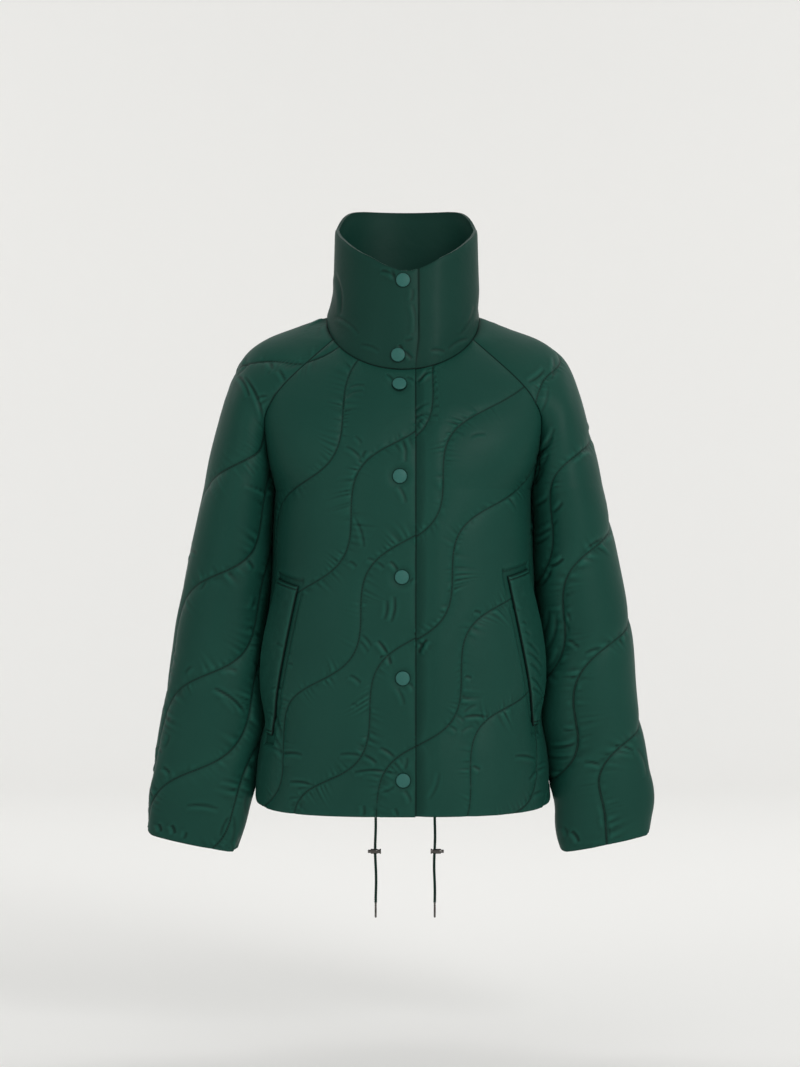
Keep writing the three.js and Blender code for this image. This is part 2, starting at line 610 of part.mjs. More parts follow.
// A front panel. Side is 1 for the wearer's left, which is the lower layer, and -1 for the right.
function frontPanel(side) {
  const sideWidth = 250;
  const shareOf = (row) => {
    const share = aboveUnderarm(row);
    const reach =
      share < 0
        ? FULLNESS * between(TORSO, torsoHeight(row)).half
        : between(FRONT_MIDDLE, share).reach;
    return OVERLAP / (3 * reach);
  };
  const at = (i, j) => {
    const past = shareOf(j);
    const t = side > 0 ? i / FRONT_COLUMNS : 1 - i / FRONT_COLUMNS;
    const across = -past + (1 + past) * t * (1 - SEAM_GAP / 2 / sideWidth);
    const p = bodyPoint(across, j, -1);
    p.x *= side;
    if (side > 0) p.y += dip(p.x);
    return p;
  };
  const arcFromCentre = (along) => {
    const whole = along.at(-1);
    return side > 0 ? OVERLAP : whole - OVERLAP;
  };
  return clothWall({
    columns: FRONT_COLUMNS,
    rows: ROWS,
    at,
    middle: arcFromCentre,
    puff: PUFF,
    quilt: side > 0 ? QUILT.frontLeft : QUILT.frontRight,
    edges: (s) => [
      rise(side > 0 ? s.right : s.left, SEAM_RADIUS),
      rise((side > 0 ? s.left : s.right) + 2, FOLD_RADIUS),
      rise(s.fromFoot + 2, FOLD_RADIUS),
      rise(s.fromTop, SEAM_RADIUS),
      side > 0 ? clamp01(0.15 + ease((s.across - OVERLAP - 3) / 16)) : 1,
    ],
    press: (spot, height) => pressFront(spot, height, side),
    room: (s) => armRoom(side > 0 ? s.right : s.left, s.j, s.p.z, -1, side, true),
  });
}

function backPanel() {
  const sideWidth = 250;
  const at = (i, j) => {
    const t = 1 - (2 * i) / BACK_COLUMNS;
    return bodyPoint(t * (1 - SEAM_GAP / 2 / sideWidth), j, 1);
  };
  return clothWall({
    columns: BACK_COLUMNS,
    rows: ROWS,
    at,
    middle: (along) => along.at(-1) / 2,
    puff: PUFF,
    quilt: QUILT.back,
    edges: (s) => [
      rise(Math.min(s.left, s.right), SEAM_RADIUS),
      rise(s.fromFoot + 2, FOLD_RADIUS),
      rise(s.fromTop, SEAM_RADIUS),
    ],
    room: (s) => armRoom(Math.min(s.left, s.right), s.j, s.p.z, 1, s.left < s.right ? 1 : -1, true),
  });
}

// A sleeve. Side is 1 for the wearer's left and -1 for the right.
function sleeve(side) {
  const around = 400;
  const at = (i, j) => {
    const t = inset(side > 0 ? i / SLEEVE_COLUMNS : 1 - i / SLEEVE_COLUMNS, around);
    const p = sleevePoint(t, j, side);
    p.x *= side;
    return p;
  };
  return clothWall({
    columns: SLEEVE_COLUMNS,
    rows: ROWS,
    at,
    middle: (along) => along[SLEEVE_COLUMNS / 2],
    upOf: (s) => s.fromFoot,
    puff: PUFF,
    quilt: side > 0 ? QUILT.sleeveLeft : QUILT.sleeveRight,
    edges: (s) => [
      rise(Math.min(s.left, s.right), SEAM_RADIUS),
      rise(s.fromFoot + 2, FOLD_RADIUS),
      rise(s.fromTop, SEAM_RADIUS),
    ],
    room: (s) => {
      const facing = s.left < s.right === side > 0 ? -1 : 1;
      return armRoom(Math.min(s.left, s.right), s.j, s.p.z, facing, side, false);
    },
  });
}

function collar() {
  const past = Math.asin(OVERLAP / NECK_HALF);
  const at = (i, j) => {
    const turn = -past + ((TAU + 2 * past) * i) / COLLAR_COLUMNS;
    const p = collarPoint(turn, j / COLLAR_ROWS);
    const sunk = turn < Math.PI / 2 ? dip(p.x) : 0;
    p.y += sunk;
    return p;
  };
  return clothWall({
    columns: COLLAR_COLUMNS,
    rows: COLLAR_ROWS,
    at,
    middle: () => OVERLAP,
    puff: COLLAR_PUFF,
    edges: (s) => [
      rise(Math.min(s.left, s.right) + 2, FOLD_RADIUS),
      rise(s.fromFoot, SEAM_RADIUS),
      rise(s.fromTop + 2, FOLD_RADIUS),
    ],
  });
}

// A pocket's welt: a padded strip laid on the front, from the front's own cloth moved out.
function welt(side) {
  const columns = 6;
  const rows = 12;
  const spotOn = (share, drop) => {
    const level = WELT_TOP + drop * (WELT_FOOT - WELT_TOP) + side * WELT_UNEVEN;
    const up = level + WELT_SLANT * share * (1 - drop);
    const strip = between(WELT, drop);
    const arc = strip.sewn + share * strip.width;
    const row = ((up - HEM) / (UNDERARM - HEM)) * ROWS_BELOW;
    let low = 0;
    let high = 1;
    const steps = 40;
    const lengthTo = (across) => {
      let run = 0;
      let last = bodyPoint(0, row, -1);
      for (let k = 1; k <= steps; k++) {
        const next = bodyPoint((across * k) / steps, row, -1);
        run += next.distanceTo(last);
        last = next;
      }
      return run;
    };
    for (let k = 0; k < 24; k++) {
      const mid = (low + high) / 2;
      if (lengthTo(mid) < arc) low = mid;
      else high = mid;
    }
    const p = bodyPoint(low, row, -1);
    const right = bodyPoint(low + 0.01, row, -1).sub(p);
    const above = bodyPoint(low, row + 0.1, -1).sub(p);
    return { p, n: right.cross(above).normalize() };
  };
  const grid = (n, lift) => {
    const made = [];
    for (let j = 0; j <= rows; j += n) {
      const line = [];
      for (let i = 0; i <= columns; i += n) {
        const share = side > 0 ? i / columns : 1 - i / columns;
        const drop = 1 - j / rows;
        const { p, n: normal } = spotOn(share, drop);
        const mouth = WELT_MOUTH * share * share * Math.sin(Math.PI * drop);
        p.addScaledVector(normal, WELT_LIFT + mouth + lift(share, drop));
        p.x *= side;
        line.push({ p });
      }
      made.push(line);
    }
    return made;
  };
  const round = (share, drop) => {
    const long = WELT_TOP - WELT_FOOT;
    const wide = between(WELT, drop).width;
    const edge = Math.min(share * wide, (1 - share) * wide, drop * long, (1 - drop) * long);
    return WELT_THICK * (0.4 + 0.6 * rise(edge, FOLD_RADIUS));
  };
  return shellSolid(grid(1, round), grid(2, () => 0));
}

// A snap's cap: a shallow dome with a rounded edge, its axis along +Z from its seat.
function snapCap() {
  const profile = [
    [0, 0],
    [SNAP_RADIUS - 0.5, 0],
    [SNAP_RADIUS, 0.9],
    [SNAP_RADIUS - 0.8, SNAP_THICK - 0.8],
    [SNAP_RADIUS * 0.6, SNAP_THICK - 0.15],
    [0, SNAP_THICK],
  ];
  return turned(profile, 16).rotateX(Math.PI / 2);
}

function seatSnap(name, wall, place, axis) {
  const lift = highest(wall.spots, place, axis, SNAP_RADIUS) + SEAM_GAP;
  const cap = add(name, snapCap(), CAP);
  cap.position.copy(place).addScaledVector(axis, lift);
  cap.quaternion.setFromUnitVectors(point(0, 0, 1), axis);
}

const frontRight = frontPanel(-1);
const collarWall = collar();
add("front_right", frontRight, SHELL);
add("front_left", frontPanel(1), SHELL);
add("back", backPanel(), SHELL);
add("sleeve_right", sleeve(-1), SHELL);
add("sleeve_left", sleeve(1), SHELL);
add("collar", collarWall, SHELL);
add("welt_right", welt(-1), SHELL);
add("welt_left", welt(1), SHELL);

// The front is straight across near its centre line, where the snaps are.
const frontRowAt = (z) => {
  let low = 0;
  let high = ROWS;
  for (let k = 0; k < 30; k++) {
    const mid = (low + high) / 2;
    if (bodyPoint(0, mid, -1).z < z) low = mid;
    else high = mid;
  }
  return low;
};
FRONT_SNAPS.forEach(({ x, z }, k) => {
  const row = frontRowAt(z);
  const p = bodyPoint(0, row, -1);
  const climb = bodyPoint(0, row + 0.2, -1).sub(bodyPoint(0, row - 0.2, -1));
  const axis = point(1, 0, 0).cross(climb).normalize();
  seatSnap(`snap_front_${k + 1}`, frontRight, p.setX(x), axis);
});
COLLAR_SNAPS.forEach(({ x, up }, k) => {
  const lean = collarPoint(0, up).x;
  const turn = Math.asin((x - lean) / between(COLLAR_FLARE, up).half);
  const p = collarPoint(turn, up);
  const climb = collarPoint(turn, up + 0.02).sub(collarPoint(turn, up - 0.02));
  const round = collarPoint(turn + 0.01, up).sub(collarPoint(turn - 0.01, up));
  const axis = round.cross(climb).normalize();
  seatSnap(`snap_collar_${k + 1}`, collarWall, p, axis);
});

// Drawcord ends: each hangs from the front of the hem, with a lock on it and a metal tip.
const barrel = [
  [0, 0],
  [LOCK_RADIUS - 0.8, 0],
  [LOCK_RADIUS, 0.8],
  [LOCK_RADIUS, LOCK_LENGTH - 0.8],
  [LOCK_RADIUS - 0.8, LOCK_LENGTH],
  [0, LOCK_LENGTH],
];
const tip = [
  [0, 0],
  [TIP_RADIUS - 0.7, 0.2],
  [TIP_RADIUS, 1.2],
  [TIP_RADIUS, TIP_LENGTH],
  [0, TIP_LENGTH],
];

// A solid less another one.
async function cut(solid, tool) {
  const wasm = await Manifolds();
  wasm.setup();
  const [whole, hole] = [solid, tool].map((geometry) => {
    const loose = geometry.clone().deleteAttribute("normal").deleteAttribute("uv");
    const merged = mergePoints(loose);
    return new wasm.Manifold(
      new wasm.Mesh({ numProp: 3, vertProperties: merged.places, triVerts: merged.faces }),
    );
  });
  const made = whole.subtract(hole).getMesh();
  const out = new THREE.BufferGeometry();
  out.setAttribute("position", new THREE.Float32BufferAttribute(made.vertProperties, 3));
  out.setIndex(Array.from(made.triVerts));
  return out;
}

// A geometry's points with each place once, and its faces less those that have shrunk to a line.
function mergePoints(geometry) {
  const from = geometry.getAttribute("position");
  const known = new Map();
  const places = [];
  const at = [];
  for (let i = 0; i < from.count; i++) {
    const p = [from.getX(i), from.getY(i), from.getZ(i)];
    const key = p.map((x) => Math.round(x * 1e4)).join(" ");
    if (!known.has(key)) known.set(key, places.push(...p) / 3 - 1);
    at.push(known.get(key));
  }
  const faces = [];
  for (let i = 0; i < geometry.index.count; i += 3) {
    const f = [0, 1, 2].map((k) => at[geometry.index.getX(i + k)]);
    if (new Set(f).size === 3) faces.push(...f);
  }
  return { places: new Float32Array(places), faces: new Uint32Array(faces) };
}

const bore = new THREE.CylinderGeometry(LOCK_BORE, LOCK_BORE, 4 * LOCK_RADIUS, 12).rotateX(Math.PI / 2);
const lockSolid = [];
for (const shift of LOCK_SHIFT) {
  const body = turned(barrel, 16).translate(0, -LOCK_LENGTH / 2, 0).rotateZ(Math.PI / 2);
  lockSolid.push(await cut(body.translate(shift, 0, 0), bore));
}
CORD_X.forEach((x, k) => {
  const name = k ? "left" : "right";
  const hem = bodyPoint(Math.abs(x) / (3 * FULLNESS * TORSO[0].half), 0, -1);
  const top = HEM - SEAM_GAP;
  const cord = new THREE.CylinderGeometry(CORD_RADIUS, CORD_RADIUS, CORD_LENGTH, 10, 4);
  cord.rotateX(Math.PI / 2).translate(x, hem.y, top - CORD_LENGTH / 2);
  add(`drawcord_${name}`, cord, BRAID);
  add(`cord_lock_${name}`, lockSolid[k].clone().translate(x, hem.y, top - LOCK_DROP), METAL);
  const end = turned(tip, 12).rotateX(Math.PI / 2);
  end.translate(x, hem.y, top - CORD_LENGTH - SEAM_GAP - TIP_LENGTH);
  add(`cord_tip_${name}`, end, METAL);
});

export default jacket;
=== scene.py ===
# A short quilted jacket, filled out as worn: deep green polyester with light wadding, sewn through in
# wavy lines, with a tall collar, raglan sleeves, pocket welts, snaps and a hem drawcord. Millimetres up
# to the making of each mesh. +X is the wearer's left, -Y the front and +Z up.
import math
from types import SimpleNamespace

import bpy
import numpy as np
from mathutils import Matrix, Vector


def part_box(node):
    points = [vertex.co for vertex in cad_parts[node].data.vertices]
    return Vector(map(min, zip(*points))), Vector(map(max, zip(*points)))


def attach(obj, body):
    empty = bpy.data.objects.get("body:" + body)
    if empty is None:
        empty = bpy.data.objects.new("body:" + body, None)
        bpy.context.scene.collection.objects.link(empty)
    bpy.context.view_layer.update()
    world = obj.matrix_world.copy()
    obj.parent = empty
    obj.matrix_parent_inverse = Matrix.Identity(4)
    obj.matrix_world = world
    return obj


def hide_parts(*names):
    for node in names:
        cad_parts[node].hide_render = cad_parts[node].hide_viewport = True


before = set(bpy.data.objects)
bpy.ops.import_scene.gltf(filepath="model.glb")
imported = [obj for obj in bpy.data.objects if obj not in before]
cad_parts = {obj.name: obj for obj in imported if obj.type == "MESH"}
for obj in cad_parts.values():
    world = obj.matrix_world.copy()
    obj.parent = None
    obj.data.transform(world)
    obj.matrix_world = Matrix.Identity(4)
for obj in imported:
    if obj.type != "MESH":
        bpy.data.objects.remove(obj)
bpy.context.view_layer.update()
scene = bpy.context.scene
MM = 0.001
TAU = 2 * math.pi


# Camera. It stands level with the chest, 3.5 m in front, as the photograph's did. The lens is a long
# one, so the jacket fills the upright picture with little perspective.
camera = bpy.data.objects.new("Camera", bpy.data.cameras.new("Camera"))
camera.location = (-0.00375, -3.5, -0.254)
camera.rotation_euler = (math.radians(90), 0, 0)
camera.data.lens = 94.47
camera.data.sensor_width = 36
scene.collection.objects.link(camera)
scene.camera = camera


# Drawcord. A braided polyester cord runs in the hem, and both its ends hang out at the front. Each
# has a spring lock of polished metal on it, and a crimped metal tip keeps the braid from fraying.
def set_inputs(node, values):
    for name, value in values.items():
        node.inputs[name.replace("_", " ")].default_value = value
    return node


def add_node(tree, kind, **values):
    return set_inputs(tree.nodes.new(kind), values)


def join(tree, *links):
    """Links from one node's output to another node's input, each as (node, output, node, input)."""
    for source, output, target, key in links:
        tree.links.new(source.outputs[output], target.inputs[key])


def new_material(name, **values):
    """A material with values for its shader, and its node tree and shader."""
    material = bpy.data.materials.new(name)
    material.use_nodes = True
    tree = material.node_tree
    return material, tree, set_inputs(tree.nodes["Principled BSDF"], values)


def colour_ramp(tree, dark, light, ends=(0, 1)):
    ramp = tree.nodes.new("ShaderNodeValToRGB")
    for element, colour, position in zip(ramp.color_ramp.elements, (dark, light), ends):
        element.color = (*colour, 1)
        element.position = position
    return ramp


def grained_material(name, scale, detail, dark, light, bump=None, **values):
    """A dye or a paint with a fine grain in its colour, and in its surface where a bump is given."""
    material, tree, shader = new_material(name, **values)
    coords = tree.nodes.new("ShaderNodeTexCoord")
    grain = add_node(tree, "ShaderNodeTexNoise", Scale=scale, Detail=detail)
    ramp = colour_ramp(tree, dark, light)
    join(
        tree, (coords, "Object", grain, "Vector"), (grain, "Fac", ramp, "Fac"),
        (ramp, "Color", shader, "Base Color"),
    )
    if bump:
        relief = add_node(tree, "ShaderNodeBump", Strength=bump[0], Distance=bump[1])
        join(tree, (grain, "Fac", relief, "Height"), (relief, "Normal", shader, "Normal"))
    return material


def steel_material():
    material, tree, shader = new_material("Polished steel", Base_Color=(0.10, 0.094, 0.088, 1), Metallic=1.0)
    coords = tree.nodes.new("ShaderNodeTexCoord")
    wear = add_node(tree, "ShaderNodeTexNoise", Scale=260.0, Detail=5.0)
    ramp = add_node(tree, "ShaderNodeMapRange", To_Min=0.08, To_Max=0.26)
    join(
        tree, (coords, "Object", wear, "Vector"), (wear, "Fac", ramp, "Value"),
        (ramp, "Result", shader, "Roughness"),
    )
    return material


def mesh_object(name, points, faces, smooth_angle=62):
    mesh = bpy.data.meshes.new(name)
    mesh.from_pydata((np.asarray(points, float).reshape(-1, 3) * MM).tolist(), [], faces)
    mesh.polygons.foreach_set("use_smooth", np.ones(len(faces), bool))
    mesh.set_sharp_from_angle(angle=math.radians(smooth_angle))
    mesh.validate()
    made = bpy.data.objects.new(name, mesh)
    scene.collection.objects.link(made)
    return made


def ring_body(name, centres, way, radii, sides, smooth_angle=50, across=(1, 0, 0)):
    """A closed round body from rings, by each one's centre, the way it faces and its radii."""
    aside = np.cross(np.broadcast_to(way, centres.shape), across)
    aside = aside / np.linalg.norm(aside, axis=1, keepdims=True)
    turn = np.arange(sides)[:, None] * TAU / sides
    out = aside[:, None] * np.cos(turn) + np.cross(way, aside)[:, None] * np.sin(turn)
    rings = centres[:, None] + radii[..., None] * out
    ids = np.arange(len(centres) * sides).reshape(len(centres), sides)
    after = np.roll(ids, -1, axis=1)
    faces = np.stack([ids[:-1], after[:-1], after[1:], ids[1:]], -1).reshape(-1, 4).tolist()
    faces += [ids[0, ::-1].tolist(), ids[-1].tolist()]
    return mesh_object(name, rings, faces, smooth_angle)


def finish_piece(piece, material, slot, *nodes):
    piece.data.materials.clear()
    piece.data.materials.append(material)
    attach(piece, "root")
    if nodes:
        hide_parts(*nodes)
    return piece


def node_box(node):
    """A CAD node's lowest and highest corner, in millimetres."""
    return (np.array(corner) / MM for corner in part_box(node))


braid = grained_material(
    "Braided polyester", 900.0, 3.0, (0.0015, 0.010, 0.0065), (0.0045, 0.026, 0.018), (0.5, 0.0002),
    Roughness=0.75, Specular_IOR_Level=0.12,
)
steel = steel_material()
STRANDS = 8  # each way round the cord
BRAID_PITCH, BRAID_DEPTH = 11.0, 0.09  # one turn of a strand, and the share it stands out
CORD_SIDES = 48
for side in ("right", "left"):
    low, high = node_box(f"drawcord_{side}")
    cord_radius, length = (high[0] - low[0]) / 2, high[2] - low[2]
    x, y = (low[0] + high[0]) / 2, (low[1] + high[1]) / 2
    along = np.linspace(0, 1, 241)
    sway = 0.7 * np.sin(TAU * 1.2 * along + (0.4 if side == "left" else 2)) * along * (1 - along) * 4
    line = np.stack([x + sway, y + 0 * along, high[2] - length * along], -1)
    way = np.gradient(line, axis=0)
    way /= np.linalg.norm(way, axis=1, keepdims=True)
    turn = np.arange(CORD_SIDES) * TAU / CORD_SIDES
    twist = TAU * (high[2] - line[:, 2:3]) / BRAID_PITCH
    over = np.cos(STRANDS / 2 * (turn + twist)) * 0.5, np.cos(STRANDS / 2 * (turn - twist)) * 0.5
    bulge = 1 - BRAID_DEPTH + BRAID_DEPTH * np.maximum(*over) * 2
    cord = ring_body(f"Drawcord_{side}", line, way, cord_radius * bulge, CORD_SIDES, 62, (0, 1, 0))
    finish_piece(cord, braid, "cord", f"drawcord_{side}")

    low, high = node_box(f"cord_lock_{side}")
    middle, half, thick = (low + high) / 2, (high[0] - low[0]) / 2, (high[2] - low[2]) / 2
    axis = np.array([1 if side == "left" else -1, 0, 0])
    # shares of the half length from the flared end to the plunger, and shares of the radius
    profile = [
        (-1, 0.2), (-1, 0.82), (-0.97, 0.95), (-0.9, 1), (-0.84, 0.95), (-0.8, 0.8), (-0.7, 0.74),
        (-0.5, 0.74), (-0.45, 0.9), (-0.4, 0.95), (0.5, 0.95), (0.55, 0.9), (0.57, 0.66), (0.6, 0.62),
        (0.86, 0.62), (0.9, 0.66), (0.97, 0.6), (1, 0.45), (1, 0.1),
    ]
    place, girth = np.array(profile).T[..., None]
    lock = ring_body(
        f"Cord_lock_{side}", middle + half * place * axis, axis, thick * girth, 40, 38, across=(0, 0, 1)
    )
    finish_piece(lock, steel, "metal", f"cord_lock_{side}")

    low, high = node_box(f"cord_tip_{side}")
    radius, length = (high[0] - low[0]) / 2, high[2] - low[2]
    x, y = (low[0] + high[0]) / 2, (low[1] + high[1]) / 2
    # shares of the length from the cord down, and of the radius, with two crimped rings
    profile = [
        (0, 0.4), (0, 0.9), (0.015, 1), (0.1, 1), (0.12, 0.86), (0.15, 0.86), (0.17, 1), (0.24, 1),
        (0.26, 0.86), (0.29, 0.86), (0.31, 1), (0.93, 0.96), (0.97, 0.86), (0.99, 0.6), (1, 0.15),
    ]
    place, girth = np.array(profile).T[..., None]
    down = np.array([0, 0, -1])
    tip = ring_body(
        f"Cord_tip_{side}", (x, y, high[2]) + length * place * down, down, radius * girth, 32, 40
    )
    finish_piece(tip, steel, "metal", f"cord_tip_{side}")


# Cloth. Each panel is a shell of thin polyester, a layer of wadding and a lining, sewn through in wavy
# lines while it lies flat and then joined at the seams, so it puckers along every stitching line. What
# follows gives the sewn-flat surface: the body from centre to side, and the sleeve from seam to seam.
WALL = 2.2  # shell, wadding and lining where they are sewn flat
PUFF = 3.8  # the wadding's rise between the quilting lines
ROOM_NEAR, ROOM_FAR = 0.64, 0.36  # shares of the room between body and sleeve: the nearer has more
FOLD_RADIUS, EDGE_START = 7.0, 1.5  # the rise beside an open edge: its reach, and where it starts
SEAM_GAP = 0.15  # left between two panels where they are joined
HEM, HEM_LIFT, UNDERARM = -595.0, 13.0, -200.0
ROWS_BELOW, ROWS_ABOVE = 24, 14
ROWS = ROWS_BELOW + ROWS_ABOVE
OVERLAP, DIP_DEPTH, DIP_START = 15.0, 5.4, 46.0
FINE = 8  # strips of the fine cloth to one row or column

# height, half the width, depth to the front and to the back
TORSO = np.array([
    (-595, 181.5, 133, 131), (-565, 180.5, 135, 132), (-525, 176, 134, 130), (-487, 170, 132, 127),
    (-445, 173, 133, 125), (-405, 172, 134, 124), (-362, 167.5, 134, 125), (-312, 161.5, 134, 128),
    (-255, 159.5, 135, 131), (-200, 158, 135, 133),
])
SIDE_Y, FULLNESS = 4.0, 0.7
# share of the way from underarm to neck, depth, height, and how far the cloth runs straight across
FRONT_MIDDLE = np.array([
    (0, -135, -200, 110.6), (0.15, -134.5, -176, 108), (0.3, -131, -152, 101), (0.45, -125, -130, 91),
    (0.6, -117, -108, 78), (0.7, -110, -94, 68.5), (0.8, -102.5, -81, 58.5), (0.9, -94, -67, 47),
    (1, -85, -54, 37),
])
BACK_MIDDLE = np.array([
    (0, 133, -200, 110.6), (0.15, 133, -165, 108), (0.3, 131, -130, 102), (0.45, 126, -96, 93),
    (0.6, 118, -62, 81), (0.7, 110, -38, 70.5), (0.8, 100.5, -16, 58), (0.9, 89, 6, 44.5),
    (1, 76, 28, 30),
])
# share, place of the raglan seam, the cloth's run towards it on the body, and away from it on the sleeve
FRONT_RAGLAN = np.array([
    (0, 158, 4, -200, 0, 94.5, 0, 0, -106, 0), (0.15, 164, -33, -170, 6, 70, 0, 6, -66, 2),
    (0.3, 168, -58, -140, 18, 52, 2, 20, -36, 4), (0.45, 169, -70, -112, 32, 36, 5, 30, -12, 6),
    (0.6, 159, -75, -89, 38, 24, 8, 34, 8, 9), (0.7, 149, -73, -75, 38, 18, 10, 32, 12, 10),
    (0.8, 135, -67, -60, 36, 16, 11, 28, 14, 11), (0.9, 112, -53, -38, 28, 20, 14, 20, 15, 11),
    (1, 86, -36, -14, 16, 30, 24, 6, 12, 9),
])
BACK_RAGLAN = np.array([
    (0, 158, 4, -200, 0, -93, 0, 0, 106, 0), (0.15, 164, 42, -168, 8, -66, 0, 6, 66, 2),
    (0.3, 168, 70, -134, 22, -48, 2, 22, 36, 4), (0.45, 167, 86, -100, 34, -34, 5, 32, 12, 6),
    (0.6, 156, 91, -68, 38, -24, 8, 34, -8, 9), (0.7, 143, 89, -48, 38, -20, 10, 32, -12, 10),
    (0.8, 125, 81, -26, 34, -20, 10, 26, -15, 9), (0.9, 102, 67, -3, 27, -21, 6, 18, -14, 5),
    (1, 76, 46, 23, 18, -19, -3, 11, -12, -2),
])


def between(table, at):
    """A smooth curve through a table's rows: its other columns at any places between them."""
    at = np.asarray(at, float)
    knots, last = table[:, 0], len(table) - 1
    high = np.clip(np.searchsorted(knots, at), 1, last)
    low = high - 1
    before, after = np.maximum(low - 1, 0), np.minimum(high + 1, last)
    span = (knots[high] - knots[low])[..., None]
    t = (at - knots[low])[..., None] / span

    def slope(a, b):
        return (table[b] - table[a]) / (knots[b] - knots[a])[..., None] * span

    start, end = slope(before, high), slope(low, after)
    change = table[high] - table[low]
    made = table[low] + t * (start + t * (3 * change - 2 * start - end + t * (start + end - 2 * change)))
    return [made[..., k] for k in range(1, table.shape[1])]


def bezier(a, b, c, d, t):
    a, b, c, d = (np.stack(np.broadcast_arrays(*p), -1) for p in (a, b, c, d))
    s, t = (1 - t)[..., None], t[..., None]
    return a * s**3 + 3 * b * s * s * t + 3 * c * s * t * t + d * t**3


def ease(x):
    x = np.clip(x, 0, 1)
    return x * x * (3 - 2 * x)


def rise(distance, radius):
    """The wadding's rise at a distance from what holds it down, as a share of its full height."""
    return np.sqrt(1 - (1 - np.clip(distance / radius, 0, 1)) ** 2)


def open_edge(distance):
    return rise(distance + EDGE_START, FOLD_RADIUS)


def body_point(across, row, facing):
    """The body's sewn-flat cloth from the centre (0) to the side or raglan seam (1). Facing -1 is front."""
    across, row = np.broadcast_arrays(np.asarray(across, float), np.asarray(row, float))
    s = np.abs(across)
    z = HEM + row / ROWS_BELOW * (UNDERARM - HEM)
    half, front, back = between(TORSO, np.minimum(z, UNDERARM))
    depth = front if facing < 0 else back
    zero = np.zeros_like(z)
    low = bezier(
        (zero, facing * depth, z), (FULLNESS * half, facing * depth, z),
        (half, SIDE_Y + facing * FULLNESS * depth, z), (half, zero + SIDE_Y, z), s,
    )
    low[..., 2] += HEM_LIFT * s**3 * (1 - np.minimum(row / ROWS_BELOW, 1)) ** 2
    share = np.clip((row - ROWS_BELOW) / ROWS_ABOVE, 0, 1)
    my, mz, reach = between(FRONT_MIDDLE if facing < 0 else BACK_MIDDLE, share)
    x, y, h, bx, by, bz, *_ = between(FRONT_RAGLAN if facing < 0 else BACK_RAGLAN, share)
    high = bezier((zero, my, mz), (reach, my, mz), (x - bx, y - by, h - bz), (x, y, h), s)
    made = np.where((row < ROWS_BELOW)[..., None], low, high)
    made[..., 0] *= np.where(across < 0, -1, 1)
    return made


# height of the inner side, inner side, outer side and its height, depth of the middle, half depth
SLEEVE = np.array([
    (-650, 207, 317, -627, -8, 32), (-606, 194.5, 315, -585, -7, 37), (-565, 187, 309.5, -547, -5, 43),
    (-525, 182.5, 304, -510, -3, 48), (-487, 174.5, 298, -476, -1, 53), (-445, 176.5, 291.5, -437, 0, 57.5),
    (-405, 175.5, 286, -400, 2, 61.5), (-362, 171, 280, -358, 3, 66), (-292, 164.5, 266.5, -289, 5, 72.5),
    (-235, 162, 254.5, -231, 5, 77.5), (-200, 158, 246, -196, 4.5, 79.5),
])
# share of the way from underarm to neck, place of the overarm, reach, drop to the front, lift to the back
OVERARM = np.array([
    (0, 246, 5, -196, 106, 0, 0), (0.15, 238.5, 5, -158, 92, 0, 0), (0.3, 228, 5, -118, 76, 0, 0),
    (0.45, 217, 5, -80, 60, 0, 0), (0.6, 204, 5, -46, 47, 0, 0), (0.7, 189.5, 5, -27.5, 40, 1, 0),
    (0.8, 166, 5, -12.5, 32, 3, 0.5), (0.9, 131, 4, 1, 23, 8, 1.5), (1, 95, 1, 15, 15, 12.2, 2.6),
])
CUFF, CUFF_ROUND = -650.0, 9.0
SLEEVE_SETTLE = 3.0  # how far the cloth of the sleeve settles towards the body's side
LEFT_SWING, LEFT_SLIM = 10.0, 6.0  # the left sleeve hangs closer to the body and is narrower


def sleeve_point(around, row, side):
    """The sleeve's sewn-flat cloth: around 0 is the front seam, 0.5 the overarm and 1 the back seam."""
    around, row = np.broadcast_arrays(np.asarray(around, float), np.asarray(row, float))
    back = around > 0.5
    s = np.where(back, 2 - 2 * around, 2 * around)
    facing = np.where(back, 1.0, -1.0)
    at = CUFF + np.minimum(row / ROWS_BELOW, 1) * (UNDERARM - CUFF)
    inner, outer, outer_z, y, depth = between(SLEEVE, at)
    if side > 0:
        swing = LEFT_SWING * ease((HEM + 20 - at) / 70)
        slim = LEFT_SLIM * ease((-380 - at) / 100) * ease((at + 620) / 60)
        inner, outer = inner - swing, outer - swing - slim
    inner = inner - SLEEVE_SETTLE * ease((at + 600) / 40) * ease((-255 - at) / 50)
    reach = facing * depth * 4 / 3
    low = bezier((inner, y, at), (inner, y + reach, at), (outer, y + reach, outer_z), (outer, y, outer_z), s)
    corner = np.minimum(low[..., 0] - inner, outer - low[..., 0]) / CUFF_ROUND
    low[..., 2] += CUFF_ROUND * (1 - rise(corner, 1)) * np.clip(1 - row / 2, 0, 1) ** 2
    share = np.clip((row - ROWS_BELOW) / ROWS_ABOVE, 0, 1)
    seams = [between(table, share) for table in (FRONT_RAGLAN, BACK_RAGLAN)]
    sx, sy, sz, _, _, _, ax, ay, az = (np.where(back, b, f) for f, b in zip(*seams))
    ox, oy, oz, run, drop, lift = between(OVERARM, share)
    high = bezier(
        (sx, sy, sz), (sx + ax, sy + ay, sz + az),
        (ox, oy + facing * run, oz + np.where(back, lift, -drop)), (ox, oy, oz), s,
    )
    return np.where((row < ROWS_BELOW)[..., None], low, high)


